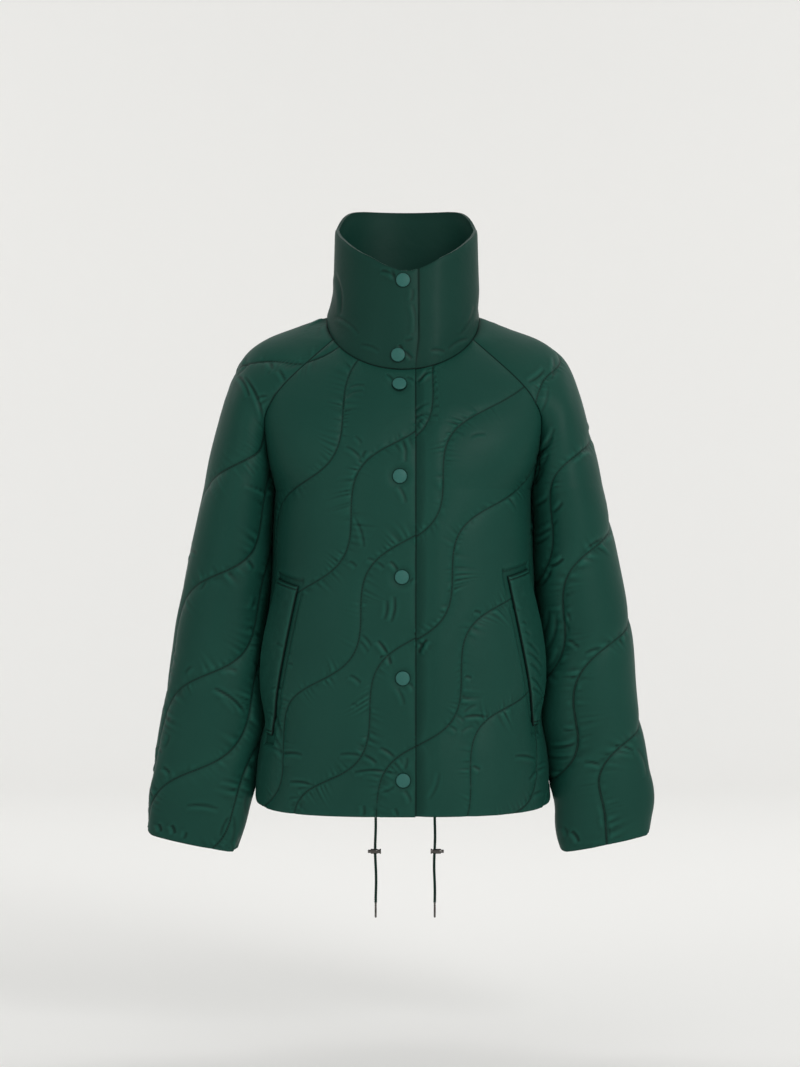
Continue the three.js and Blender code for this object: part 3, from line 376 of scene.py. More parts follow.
def arm_room(distance, rows, z, facing, side):
    """The room between body and sleeve at a distance from the seam or fold where they meet."""
    t = np.linspace(0, 0.6, 61)
    made = np.empty_like(distance)
    for j, row in enumerate(rows):
        below = row < ROWS_BELOW
        height = z[j].min()
        if below and height < HEM + HEM_LIFT / 2:
            made[j] = np.inf
            continue
        body_row = (height - HEM) / (UNDERARM - HEM) * ROWS_BELOW if below else row
        arm_row = (height - CUFF) / (UNDERARM - CUFF) * ROWS_BELOW if below else row
        body = body_point(1 - t, body_row, facing)
        arm = sleeve_point(t / 2 if facing < 0 else 1 - t / 2, arm_row, side)
        at = []
        for line in (body, arm):
            run = np.concatenate([[0], np.cumsum(np.linalg.norm(np.diff(line, axis=0), axis=1))])
            at.append(np.stack([np.interp(distance[j], run, line[:, k]) for k in range(3)], -1))
        gap = at[1] - at[0]
        made[j] = np.linalg.norm(gap[:, :2] if below else gap, axis=1)
    return made


def nearest_stitch(across, up, quilt):
    """The distance to the nearest quilting line, the way to it across and up, its number, the place
    along it, and whether it is passed on the left (1) or right (-1)."""
    along, step, swing, origin, base, wander_across, wander_up = quilt
    s, t = np.clip(across / 100, -2, 2), np.clip((up - base) / 200, -1.6, 1.6)
    basis = (s, t, s * t, s * s, t * t, t**3, s * t * t, s * s * t)
    across = across + sum(k * b for k, b in zip(wander_across, basis))
    up = up + sum(k * b for k, b in zip(wander_up, basis))
    length = math.hypot(*along)
    ax, az = along[0] / length, along[1] / length
    dx, dz = across - origin[0], up - origin[1]
    c, w = dx * ax + dz * az, dx * az - dz * ax
    step_c, step_w = step[0] * ax + step[1] * az, step[0] * az - step[1] * ax
    guess = np.floor(w / step_w)
    best = np.full(np.shape(w), np.inf)
    to_across, to_up, line, place, hand = (np.zeros_like(best) for _ in range(5))
    for shift in (-1, 0, 1, 2):
        k = guess + shift
        phase = TAU * (c - k * step_c) / length
        off = w - k * step_w + swing * np.sin(phase)
        slope = -swing * TAU / length * np.cos(phase)
        lean = 1 / (1 + slope * slope)
        distance = np.abs(off) * np.sqrt(lean)
        closer = distance < best
        best = np.where(closer, distance, best)
        back = off * lean
        to_across = np.where(closer, back * (-az + slope * ax), to_across)
        to_up = np.where(closer, back * (ax + slope * az), to_up)
        line = np.where(closer, k, line)
        place = np.where(closer, c + back * slope, place)
        hand = np.where(closer, np.sign(off), hand)
    return best, to_across, to_up, line, place, hand


LINE_REACH = 9.2  # a little over half a row, so that every strip a line crosses has a point near it
HALF_STRIP = 0.49  # a point that moved further would fold its strip over


class Cloth:
    """A panel's fine grid: its sewn-flat points and normals, and where each point lies on the cloth."""

    def __init__(self, at, columns, rows, middle, up_is_height=True, fine=FINE):
        self.at, self.rows, self.fine = at, rows, fine
        self.i, self.j = np.meshgrid(np.arange(columns * fine + 1) / fine, np.arange(rows * fine + 1) / fine)
        self.flat, self.normal = self.surface(self.i, self.j)
        run = np.linalg.norm(np.diff(self.flat, axis=1), axis=2)
        self.left = np.concatenate([np.zeros((len(run), 1)), np.cumsum(run, 1)], 1)
        self.right = self.left[:, -1:] - self.left
        climb = np.linalg.norm(np.diff(self.flat, axis=0), axis=2)
        self.foot = np.concatenate([np.zeros((1, climb.shape[1])), np.cumsum(climb, 0)], 0)
        self.top = self.foot[-1:] - self.foot
        self.across = self.left - middle(self.left)
        self.up = self.flat[..., 2] if up_is_height else self.foot
        self.distance = np.full(self.left.shape, 1e3)
        # Distance that sets the painted shade in the colour beside seams, thread, snap caps and an
        # overlapping edge.
        self.sewn = self.distance  # from the panel's own seams
        self.lines = []

    def surface(self, i, j):
        step = 0.02
        p = self.at(i, j)
        right = self.at(i + step, j) - self.at(i - step, j)
        up = self.at(i, np.minimum(j + step, self.rows)) - self.at(i, np.maximum(j - step, 0))
        n = np.cross(right, up)
        return p, n / np.linalg.norm(n, axis=-1, keepdims=True)

    def quilt(self, quilt):
        """Moves grid points onto each quilting line that passes close by, and keeps the lines."""
        distance, to_across, to_up, line, place, hand = nearest_stitch(self.across, self.up, quilt)
        self.place, self.beside = place, (2 * line + (hand > 0)).astype(int)
        di = to_across / np.gradient(self.across, axis=1)
        dj = to_up / np.gradient(self.up, axis=0)
        near = distance < LINE_REACH / self.fine
        near &= (np.abs(di) < HALF_STRIP) & (np.abs(dj) < HALF_STRIP)
        near[0], near[-1], near[:, 0], near[:, -1] = False, False, False, False
        self.flat, self.normal = self.surface(
            self.i + np.where(near, di, 0) / self.fine, self.j + np.where(near, dj, 0) / self.fine
        )
        self.distance = np.where(near, 0, distance)
        for k in np.unique(line[near]):
            on = np.argwhere(near & (line == k))
            on = on[np.argsort(place[on[:, 0], on[:, 1]])]
            self.lines.append((on[:, 0], on[:, 1]))


# Puckers. The thread gathers the shell a few hundredths along each line, so it has cloth to spare there,
# which buckles into short folds across the line. The cloth is relaxed here round by round: every point
# is tied to its neighbours at their length on the table, and the wadding holds it up.
def softened(grid, rounds):
    for _ in range(rounds):
        wide = np.pad(grid, 1, mode="edge")
        middle = wide[1:-1, 1:-1] * 2
        grid = (middle + wide[:-2, 1:-1] + wide[2:, 1:-1] + wide[1:-1, :-2] + wide[1:-1, 2:]) / 6
    return grid


def smooth_noise(rng, shape, rounds):
    made = softened(rng.standard_normal(shape), rounds)
    return made / made.std()


RELAX_ROUNDS = 140
CLEARANCE = 0.05  # between body and sleeve
# shares of a full step taken in one round: by the ties, by the bending and by the wadding
PUSH, STIFFNESS, LOFT = 1.4, 0.25, 0.02
SPARE = 0.05  # the share of its length that the shell has over, beside the stitches
SINGLE_DEPTH, SHORT_DEPTH = 1.25, 1.1  # of the folds traced one by one, and of those across the stitches
# step up the panel, step across it, and how hard the tie pulls
TIES = ((0, 1, 1), (1, 0, 1), (1, 1, 0.7), (1, -1, 0.7), (0, 2, 0.45), (2, 0, 0.45))


def relax(base, normal, height, held, spare, start):
    """The cloth's points after its spare length has buckled, all as arrays over the panel's grid."""
    base, normal = base.astype(np.float32), normal.astype(np.float32)
    height = height.astype(np.float32)
    limit = 1.1 * height + 0.5 * np.clip(height, 0, 1)
    p = base + start.astype(np.float32)
    free = (~held).astype(np.float32)[..., None]
    ties = []
    weight = np.zeros(height.shape, np.float32)
    for dj, di, pull in TIES:
        a = slice(0, -dj or None), slice(max(0, -di), -di if di > 0 else None)
        b = slice(dj, None), slice(max(0, di), di if di < 0 else None)
        rest = np.linalg.norm(base[b] - base[a], axis=-1) * (1 + (spare[a] + spare[b]) / 2)
        ties.append((a, b, rest.astype(np.float32), pull))
        weight[a] += pull
        weight[b] += pull
    for _ in range(RELAX_ROUNDS):
        move = np.zeros_like(p)
        for a, b, rest, pull in ties:
            way = p[b] - p[a]
            length = np.sqrt((way * way).sum(-1))
            way *= (0.5 * pull * (1 - rest / np.maximum(length, 1e-3)))[..., None]
            move[a] += way
            move[b] -= way
        p += PUSH * free * move / weight[..., None]
        off = ((p - base) * normal).sum(-1)
        want = off.copy()
        want[1:-1, 1:-1] += STIFFNESS * (
            (off[:-2, 1:-1] + off[2:, 1:-1] + off[1:-1, :-2] + off[1:-1, 2:]) / 4 - off[1:-1, 1:-1]
        )
        want = np.clip(want + LOFT * (height - want), 0, limit)
        p += ((want - off) * free[..., 0])[..., None] * normal
    return (p - base).astype(float)


def stitch_folds(cloth, rng):
    """Short folds across the stitching lines: each line has its own on either side of it, rounded, with
    sharp valleys between, and longer and deeper in some places than in others."""
    place = cloth.place - cloth.place.min()
    beside = cloth.beside - cloth.beside.min()

    def along(rounds):
        rows = rng.standard_normal((beside.max() + 1, int(place.max()) + 80))
        for _ in range(rounds):
            rows[:, 1:-1] = rows[:, :-2] / 4 + rows[:, 1:-1] / 2 + rows[:, 2:] / 4
        rows /= rows.std()

        def read(at):
            at = np.clip(at, 0, rows.shape[1] - 2)
            k = at.astype(int)
            return rows[beside, k] * (1 - at + k) + rows[beside, k + 1] * (at - k)

        return read

    lean, long, deep, fold = along(400), along(90), along(160), along(5)
    d = cloth.distance
    at = place + 20 + 0.3 * lean(place + 20) * d
    reach = 9 + 6 * np.clip(long(at), -0.8, 2.2)
    depth = np.clip(0.8 + 0.7 * deep(at), 0.1, 2)
    round_off = np.abs(fold(at)) ** 0.6 - 0.7
    return softened(1.2 * depth * round_off * ease(d / 3) * np.exp(-((d / reach) ** 2)), 1)


def single_folds(cloth, folds):
    """Single folds on the front of a panel: rows of both ends, across and up, and the depth."""
    x, z = cloth.flat[..., 0], cloth.flat[..., 2]
    ahead = cloth.normal[..., 1] < 0
    made = np.zeros_like(x)
    for x0, z0, x1, z1, depth in folds:
        long = math.hypot(x1 - x0, z1 - z0)
        wx, wz = (x1 - x0) / long, (z1 - z0) / long
        t = np.clip(((x - x0) * wx + (z - z0) * wz) / long, 0, 1)
        aside = (x - x0) * wz - (z - z0) * wx + 0.07 * long * np.sin(math.pi * t)
        shape = 0.6 * np.exp(-(((aside - 4.5) / 3) ** 2)) - np.exp(-((aside / 2) ** 2))
        made += depth * shape * np.sqrt(4 * t * (1 - t)) * ahead
    return made


STEEP, STEEP_RADIUS, SWELL_REACH = 0.16, 3, 11


def swell(distance):
    """The rise of the quilted cloth: steep at the stitches, then slowly to its full height."""
    return STEEP * rise(distance, STEEP_RADIUS) + (1 - STEEP) * (1 - np.exp(-distance / SWELL_REACH))


def puckered(cloth, edges, puff, seed, press=None, room=None, spare=SPARE, folds=()):
    """Raises a panel's cloth: the wadding's smooth height first, then the puckers."""
    rng = np.random.default_rng(seed)
    shape = cloth.distance.shape
    height = puff * np.minimum(swell(cloth.distance), edges)
    if press:
        height = press(cloth, height)
    cap = np.full(shape, np.inf) if room is None else np.maximum(0, room - CLEARANCE)
    height = np.minimum(height, cap)
    held = cloth.distance < 0.1
    held[0] = held[-1] = held[:, 0] = held[:, -1] = True
    border = np.minimum.reduce([cloth.left, cloth.right, cloth.foot, cloth.top])
    patchy = np.clip(0.8 + 0.55 * smooth_noise(rng, shape, 60), 0.1, 2)
    near = np.exp(-((cloth.distance / SWELL_REACH) ** 2))
    extra = spare * patchy * (0.25 + near) * np.clip(border / 6, 0, 1) * np.clip(height, 0, 1)
    rough = 0.5 * smooth_noise(rng, shape, cloth.fine // 4) * np.minimum(0.5 * height, 1) * near
    start = np.clip(height + rough, 0, None)[..., None] * cloth.normal
    off = relax(cloth.flat, cloth.normal, height, held, extra, start)
    raised = (off * cloth.normal).sum(-1)
    made = raised + SINGLE_DEPTH * single_folds(cloth, folds) * np.clip(border / 4, 0, 1)
    if cloth.lines:
        pressed = np.clip(height / 1.2, 0, 1) * np.clip(border / 6, 0, 1)
        made += SHORT_DEPTH * stitch_folds(cloth, rng) * pressed
    made = np.minimum(np.maximum(made, np.minimum(raised, -0.6)), cap)
    cloth.outer = cloth.flat + off + cloth.normal * (made - raised)[..., None]
    cloth.height = made


def cloth_object(name, cloth, coarse=8):
    """A closed wall: the fine outside, a plain inside a few times coarser, and a strip round the edge."""
    outer, inner = cloth.outer, (cloth.flat - WALL * cloth.normal)[::coarse, ::coarse]
    ids = np.arange(outer[..., 0].size).reshape(outer.shape[:2])
    inner_ids = ids.size + np.arange(inner[..., 0].size).reshape(inner.shape[:2])

    def quads(grid, order):
        corners = (grid[:-1, :-1], grid[:-1, 1:], grid[1:, 1:], grid[1:, :-1])
        return np.stack([corners[k] for k in order], -1).reshape(-1, 4).tolist()

    def loop(grid):
        return np.concatenate([grid[0, :-1], grid[:-1, -1], grid[-1, :0:-1], grid[:0:-1, 0]]).tolist()

    faces = quads(ids, (0, 1, 2, 3)) + quads(inner_ids, (0, 3, 2, 1))
    rim, hem = loop(ids), loop(inner_ids)
    for k, a in enumerate(hem):
        edge = [rim[(coarse * k + n) % len(rim)] for n in range(coarse + 1)]
        faces.append((a, hem[(k + 1) % len(hem)], *reversed(edge)))
    made = mesh_object(name, np.concatenate([outer.reshape(-1, 3), inner.reshape(-1, 3)]), faces)
    mesh = made.data

    def both(grid):
        inside = grid[::coarse, ::coarse].reshape(inner_ids.size, -1)
        return np.concatenate([grid.reshape(ids.size, -1), inside])

    corners = np.empty(len(mesh.loops), np.int32)
    mesh.loops.foreach_get("vertex_index", corners)
    flat = both(np.stack([cloth.across, cloth.foot], -1) * MM)
    mesh.uv_layers.new(name="cut").data.foreach_set("uv", flat[corners].reshape(-1).astype(np.float32))
    # Attributes for painted light in the colour: how far a point lies below its surroundings (painted shade
    # in folds, painted highlight on ridges), and its distance from thread, seams, snap caps and overlapping
    # edges (painted shadow beside them).
    fold_shade_and_highlight = (softened(cloth.height, 4) - cloth.height) * ease((cloth.distance - 0.5) / 4)
    sewn = np.minimum(cloth.distance, cloth.sewn)
    for key, grid in (("stitch", np.minimum(sewn, 60)), ("fold_shade_and_highlight", np.clip(fold_shade_and_highlight, -1, 1))):
        mesh.attributes.new(key, "FLOAT", "POINT").data.foreach_set(
            "value", both(grid).reshape(-1).astype(np.float32)
        )
    return made


# Shell fabric. Fine plain-woven polyester, dyed deep green, with a soft lustre. Its surface has the weave
# and small crinkles. Its colour carries painted shade in the folds, painted highlight on the ridges, and
# painted shadow right beside the thread.
def crinkle_group():
    """Small crinkles and the weave, from a position in metres. Gives a height and a tone from 0 to 1."""
    tree = bpy.data.node_groups.new("Crinkled cloth", "ShaderNodeTree")
    tree.interface.new_socket("Vector", in_out="INPUT", socket_type="NodeSocketVector")
    tree.interface.new_socket("Height", in_out="OUTPUT", socket_type="NodeSocketFloat")
    tree.interface.new_socket("Tone", in_out="OUTPUT", socket_type="NodeSocketFloat")
    start, end = tree.nodes.new("NodeGroupInput"), tree.nodes.new("NodeGroupOutput")
    broad = add_node(tree, "ShaderNodeTexNoise", Scale=26.0, Detail=3.0, Roughness=0.5, Distortion=0.8)
    creased = add_node(tree, "ShaderNodeTexNoise", Scale=95.0, Detail=4.0, Roughness=0.55, Distortion=1.2)
    tone = add_node(tree, "ShaderNodeTexNoise", Scale=7.0, Detail=3.0)
    mixed = tree.nodes.new("ShaderNodeMath")
    mixed.operation = "MULTIPLY_ADD"
    mixed.inputs[1].default_value = 0.35
    join(
        tree, *((start, "Vector", noise, "Vector") for noise in (broad, creased, tone)),
        (creased, "Fac", mixed, 0), (broad, "Fac", mixed, 2), (mixed, "Value", end, "Height"),
        (tone, "Fac", end, "Tone"),
    )
    return tree


crinkles = crinkle_group()
BOUNDS = ("From Min", "From Max", "To Min", "To Max")


def fabric_material(name, dark, light, strength):
    material, tree, shader = new_material(
        name, Roughness=0.5, Specular_IOR_Level=0.11, Sheen_Weight=0.03, Sheen_Roughness=0.35,
        Sheen_Tint=(0.35, 0.8, 0.65, 1),
    )
    coords = tree.nodes.new("ShaderNodeTexCoord")
    cloth = tree.nodes.new("ShaderNodeGroup")
    cloth.node_tree = crinkles
    ramp = colour_ramp(tree, dark, light, (0.3, 0.7))
    bump = add_node(tree, "ShaderNodeBump", Strength=strength, Distance=0.0016)
    shade = tree.nodes.new("ShaderNodeMath")
    shade.operation = "MULTIPLY"
    dye_and_shade = tree.nodes.new("ShaderNodeVectorMath")
    dye_and_shade.operation = "SCALE"
    # painted shade and highlight: what each attribute runs over, and the share of the colour left at either
    # end
    shades = (("fold_shade_and_highlight", (-0.35, 0.42, 1.25, 0.4)), ("stitch", (0.1, 1.4, 0.3, 1.0)))
    for k, (attribute, bounds) in enumerate(shades):
        read = tree.nodes.new("ShaderNodeAttribute")
        read.attribute_name = attribute
        share = add_node(tree, "ShaderNodeMapRange", **dict(zip(BOUNDS, bounds)))
        join(tree, (read, "Fac", share, "Value"), (share, "Result", shade, k))
    join(
        tree, (coords, "Object", cloth, "Vector"), (cloth, "Tone", ramp, "Fac"),
        (ramp, "Color", dye_and_shade, "Vector"), (shade, "Value", dye_and_shade, "Scale"),
        (dye_and_shade, "Vector", shader, "Base Color"), (cloth, "Height", bump, "Height"),
        (bump, "Normal", shader, "Normal"),
    )
    return material


fabric = fabric_material("Quilted polyester", (0.0070, 0.053, 0.0385), (0.0090, 0.0615, 0.0445), 0.3)


# Fronts. The wearer's right one lies on the left one along the closing, where the lower layer sinks.
# The wadding is pressed flat under the pocket welts and round each snap. The quilting is worked by hand
# along a repeated wavy line, so it wanders: each panel has its own shifts across and up.
FRONT_COLUMNS, FRONT_RUN = 16, 250
WELT_TOP, WELT_FOOT = -312, -499  # at the sewn edge, and each side is a little uneven to the other
WELT_UNEVEN, WELT_SLANT = 6, 9
# share of the way down, distance round the front from its centre to the sewn edge, width from there
WELT = np.array([(0, 134, 46), (0.25, 146, 46), (0.5, 158, 45), (0.75, 171, 38), (1, 184, 20)])
WELT_THICK, WELT_LIFT, WELT_MOUTH = 4.2, 0.8, 7
WELT_BED, WELT_MARGIN = 6, 7  # the pressed bed's slope, and how far inside the free edge it ends
FRONT_SNAPS = ((-4.5, -73.5), (-4, -185), (-1.5, -306.5), (-0.5, -428), (0, -551))  # across and up
SNAP_RADIUS, SNAP_THICK, SNAP_BED, SNAP_BED_RADIUS = 8.5, 2.8, 1.5, 17
# one wave, the step to the next line, the wave's height, its start, the middle height, and the shifts
QUILT_RIGHT = (
    (105, 166.6), (14.6, -119.1), 20.4, (-50, -345.8), -300,
    (4.2, -5.6, 0.1, 6.1, 2.3, -0.9, 5.4, 2.6), (-7.8, 2.4, -0.5, -0.5, 2.2, -5.4, 11.2, -2.2),
)
QUILT_LEFT = (
    (107.1, 162.2), (11.8, -120.1), 20.4, (-57.9, -348.7), -300,
    (9.1, -1, 3.3, -10.7, -4.6, 2, 7, -8.2), (-8.1, 3.7, 0, 0.7, 4.2, 0.5, 1.1, -5.1),
)


# Folds where the cloth is dragged by snaps, seams and welts: both ends, across and up, and the depth
FRONT_FOLDS = (
    (-20, -61, -10, -70, 1.1), (4, -64, 16, -72, 1.0), (17, -70, 39, -55, 1.5), (20, -68, 46, -44, 0.9),
    (35, -65, 41, -64, 0.7), (35, -73, 41, -70, 0.7), (36, -82, 43, -80, 0.7), (36, -91, 43, -91, 0.7),
    (35, -101, 44, -101, 0.7), (34, -112, 43, -113, 0.7), (14, -106, 32, -97, 0.8),
    (14, -114, 32, -110, 0.8), (17, -121, 29, -115, 0.6), (-66, -77, -46, -75, 0.7),
    (-67, -86, -48, -82, 0.6), (-69, -149, -50, -164, 0.9), (-58, -137, -49, -146, 0.6),
    (-49, -163, -44, -154, 0.7), (0, -142, 3, -169, 0.6), (-5, -197, 4, -217, 0.6),
    (-59, -232, -46, -271, 0.7), (53, -130, 73, -136, 0.5), (51, -142, 62, -142, 0.5),
    (81, -137, 99, -134, 0.5),
    (-16, -287, -6, -298, 0.9), (-43, -283, -22, -295, 0.8), (-30, -382, -14, -411, 1.3),
    (-28, -403, -19, -401, 0.9), (-64, -287, -55, -294, 0.7), (-10, -329, -14, -361, 0.8),
    (-19, -334, -22, -358, 0.6), (-50, -375, -37, -390, 0.7), (-52, -383, -41, -397, 0.5),
    (-64, -424, -50, -434, 0.8), (-62, -459, -54, -460, 0.5), (-76, -520, -49, -522, 0.8),
    (-48, -520, -31, -530, 1.0), (-28, -511, -9, -524, 0.9), (-59, -541, -7, -543, 1.1),
    (-49, -544, -28, -546, 0.5), (-136, -555, -106, -559, 1.1), (-127, -563, -107, -562, 0.6),
    (-137, -575, -123, -575, 0.6), (-145, -521, -120, -522, 0.8), (-157, -515, -144, -524, 0.8),
    (-161, -443, -148, -443, 0.6), (-154, -388, -143, -393, 0.6), (-139, -412, -131, -413, 0.5),
    (-140, -399, -133, -401, 0.4), (-146, -454, -151, -469, 0.5), (19, -398, 29, -381, 1.3),
    (19, -385, 26, -390, 0.7), (85, -347, 94, -350, 0.9), (74, -426, 82, -428, 0.8),
    (72, -475, 103, -476, 1.2), (73, -469, 87, -460, 0.5), (83, -534, 92, -539, 0.9),
    (133, -524, 161, -530, 0.9), (151, -554, 171, -541, 1.0), (154, -548, 172, -534, 0.5),
    (151, -578, 168, -569, 0.8), (53, -484, 65, -492, 0.7), (62, -471, 75, -481, 0.5),
    (69, -493, 84, -486, 0.4), (141, -349, 133, -341, 0.6), (144, -361, 150, -365, 0.7),
    (147, -373, 154, -379, 0.7), (150, -386, 165, -403, 1.0), (152, -399, 170, -418, 1.1),
    (154, -412, 168, -430, 1.0), (156, -429, 172, -454, 1.2), (157, -442, 171, -459, 1.0),
    (158, -486, 172, -454, 0.8), (160, -487, 153, -472, 0.6), (-154, -483, -148, -505, 1.1),
    (-160, -496, -146, -526, 0.7), (-163, -472, -149, -490, 0.8), (5, -523, 2, -538, 0.5),
    (-10, -558, -28, -565, 0.6), (2, -562, 10, -577, 0.6), (-47, -580, -47, -595, 0.7),
    (-10, -583, -6, -595, 0.6), (-34, -583, -34, -595, 0.4), (-124, -580, -125, -591, 0.4),
    (44, -541, 32, -574, 0.4), (8, -313, 14, -307, 0.5), (7, -433, 14, -442, 0.6),
    (-7, -439, 2, -460, 0.5),
)


def dip(across):
    """How far the lower front and the collar's lower end sink under the upper ones."""
    return DIP_DEPTH * ease((DIP_START - across) / (DIP_START - OVERLAP))


def front_at(side):
    def at(i, j):
        i, j = np.broadcast_arrays(np.asarray(i, float), np.asarray(j, float))
        half = between(TORSO, np.minimum(HEM + j / ROWS_BELOW * (UNDERARM - HEM), UNDERARM))[0]
        share = np.clip((j - ROWS_BELOW) / ROWS_ABOVE, 0, 1)
        reach = np.where(j < ROWS_BELOW, FULLNESS * half, between(FRONT_MIDDLE, share)[2])
        past = OVERLAP / (3 * reach)
        t = i / FRONT_COLUMNS if side > 0 else 1 - i / FRONT_COLUMNS
        p = body_point(-past + (1 + past) * t * (1 - SEAM_GAP / FRONT_RUN), j, -1)
        p[..., 0] *= side
        if side > 0:
            p[..., 1] += dip(p[..., 0])
        return p

    return at


def press_front(side):
    def press(cloth, height):
        x, z = cloth.flat[..., 0], cloth.flat[..., 2]
        drop = (WELT_TOP + side * WELT_UNEVEN - z) / (WELT_TOP - WELT_FOOT)
        sewn, width = between(WELT, np.clip(drop, 0, 1))
        out = side * cloth.across - sewn
        long = WELT_TOP - WELT_FOOT
        past = np.maximum(-drop * long - WELT_SLANT * np.clip(out / width, 0, 1), (drop - 1) * long)
        away = np.maximum(np.maximum(-out, out - width + WELT_MARGIN), past)
        made = height * ease((away - WELT_BED) / WELT_BED)
        for across, up in FRONT_SNAPS if side < 0 else ():
            r = np.hypot(x - across, z - up)
            made += (SNAP_BED - made) * (1 - ease((r - SNAP_RADIUS) / (SNAP_BED_RADIUS - SNAP_RADIUS)))
        return made

    return press


walls = {}


def finish_panel(node, cloth, material):
    walls[node] = cloth
    return finish_piece(cloth_object(node.capitalize(), cloth), material, "shell", node)


for side, word, quilt in ((-1, "right", QUILT_RIGHT), (1, "left", QUILT_LEFT)):
    cloth = Cloth(
        front_at(side), FRONT_COLUMNS, ROWS,
        lambda left: OVERLAP if side > 0 else left[:, -1:] - OVERLAP, fine=12,
    )
    cloth.quilt(quilt)
    seam, closing = (cloth.right, cloth.left) if side > 0 else (cloth.left, cloth.right)
    cloth.sewn = np.minimum(seam, cloth.top)
    if side > 0:  # the upper front's edge lies on this one
        # Painted shadow: a thin dark line in this cloth's colour right beside the upper front's edge.
        cloth.sewn = np.minimum(cloth.sewn, np.maximum(0, cloth.across - OVERLAP))
    # Painted shadow: a thin dark ring in the cloth's colour round each snap cap.
    for across, up in FRONT_SNAPS if side < 0 else ():
        r = np.hypot(cloth.flat[..., 0] - across, cloth.flat[..., 2] - up)
        cloth.sewn = np.minimum(cloth.sewn, np.maximum(0, r - SNAP_RADIUS))
    edges = np.minimum.reduce([swell(seam), open_edge(closing), open_edge(cloth.foot), swell(cloth.top)])
    if side > 0:  # it is pressed nearly flat under the other front
        edges = np.minimum(edges, np.clip(0.15 + ease((cloth.across - OVERLAP - 3) / 16), 0, 1))
    room = ROOM_NEAR * arm_room(seam, cloth.j[:, 0], cloth.flat[..., 2], -1, side)
    puckered(cloth, edges, PUFF, 11 + side, press_front(side), room, folds=FRONT_FOLDS)
    piece = finish_panel(f"front_{word}", cloth, fabric)


# Back. One panel from side seam to side seam and up between the raglan seams to the collar, of the
# same sewn-through cloth as the fronts. It doesn't show in the photograph, so it is guessed.
BACK_COLUMNS = 26
QUILT_BACK = ((106, 164), (13, -119.6), 20.4, (20, -300), -300, (0,) * 8, (0,) * 8)

cloth = Cloth(
    lambda i, j: body_point((1 - 2 * i / BACK_COLUMNS) * (1 - SEAM_GAP / FRONT_RUN), j, 1),
    BACK_COLUMNS, ROWS, lambda left: left[:, -1:] / 2,
)
cloth.quilt(QUILT_BACK)
seam = np.minimum(cloth.left, cloth.right)
cloth.sewn = np.minimum(seam, cloth.top)
edges = np.minimum.reduce([swell(seam), open_edge(cloth.foot), swell(cloth.top)])
room = ROOM_FAR * arm_room(seam, cloth.j[:, 0], cloth.flat[..., 2], 1, 1)
puckered(cloth, edges, PUFF, 21, room=room)
piece = finish_panel("back", cloth, fabric)


# Sleeves. Raglan sleeves of the same quilted cloth, each in one piece with one seam under the arm.
# They are set in along slanted seams, from the underarm to the collar.
SLEEVE_COLUMNS, SLEEVE_RUN = 24, 400
QUILT_SLEEVES = {
    -1: (
        (102.5, 205.4), (2.5, -120.8), 16.3, (13.5, 349.3), 304.5,
        (-6.8, 8.5, -3.2, -7.5, 14, 0.2, -2.2, -4.4), (2.6, 0.8, 2.8, 0.5, -7.2, -3.1, 4.4, -2.5),
    ),
    1: (
        (114.1, 165.6), (11, -118.9), 25.1, (6, 579), 304.5,
        (-6.9, 0, 3.1, 11.1, -7.2, 2.1, -1.9, -4.4), (0.6, -2.2, 1.4, 4.2, 8.8, 1.9, 3.5, -1.2),
    ),
}


# both ends across and up, and the depth
SLEEVE_FOLDS = {
    -1: (
        (-191, -42, -205, -60, 1.0), (-201, -60, -187, -87, 1.2), (-193, -62, -171, -115, 1.3),
        (-179, -89, -165, -86, 0.7), (-175, -97, -163, -89, 0.7), (-167, -105, -155, -95, 0.6),
        (-165, -42, -159, -54, 0.6), (-152, -54, -144, -68, 0.7), (-261, -274, -252, -280, 0.6),
        (-242, -309, -248, -323, 0.6), (-191, -286, -185, -297, 0.8), (-189, -368, -179, -382, 0.7),
        (-183, -331, -189, -348, 0.6), (-232, -443, -195, -475, 1.1), (-222, -454, -205, -472, 0.6),
        (-267, -427, -259, -417, 0.5), (-295, -543, -287, -551, 0.8), (-305, -519, -297, -527, 0.6),
        (-267, -589, -228, -593, 0.6), (-301, -613, -298, -623, 1.3), (-285, -613, -281, -625, 1.2),
        (-267, -621, -270, -631, 0.7), (-226, -629, -216, -604, 0.7), (-210, -604, -214, -637, 0.6),
        (-197, -604, -193, -572, 0.6), (-287, -503, -293, -519, 0.5), (-218, -419, -205, -423, 0.5),
    ),
    1: (
        (186, -125, 164, -160, 1.3), (184, -136, 170, -156, 0.9), (180, -154, 166, -178, 0.9),
        (174, -172, 161, -197, 0.8), (182, -205, 166, -221, 0.8), (196, -215, 184, -229, 0.8),
        (190, -237, 168, -258, 0.7), (184, -254, 161, -270, 0.6), (198, -284, 182, -295, 1.2),
        (184, -297, 172, -319, 0.9), (214, -156, 227, -150, 0.9), (206, -164, 217, -156, 0.7),
        (223, -274, 247, -260, 0.7), (247, -262, 255, -254, 0.8), (200, -348, 206, -362, 0.7),
        (198, -362, 204, -376, 0.6), (202, -384, 217, -394, 0.7), (190, -352, 182, -397, 0.7),
        (182, -348, 174, -384, 0.6), (194, -394, 182, -421, 0.6), (223, -401, 247, -394, 0.6),
        (219, -425, 206, -433, 0.5), (218, -494, 198, -496, 0.6), (219, -509, 186, -519, 0.8),
        (217, -527, 182, -531, 0.6), (261, -515, 284, -523, 0.8), (255, -523, 284, -527, 0.6),
        (223, -535, 243, -539, 0.7), (210, -621, 219, -635, 1.4), (202, -617, 206, -629, 0.7),
        (247, -604, 255, -629, 0.9), (245, -588, 249, -617, 0.7), (288, -519, 300, -556, 0.6),
        (174, -54, 153, -70, 0.8), (186, -38, 182, -66, 0.6), (178, -74, 166, -111, 0.5),
    ),
}


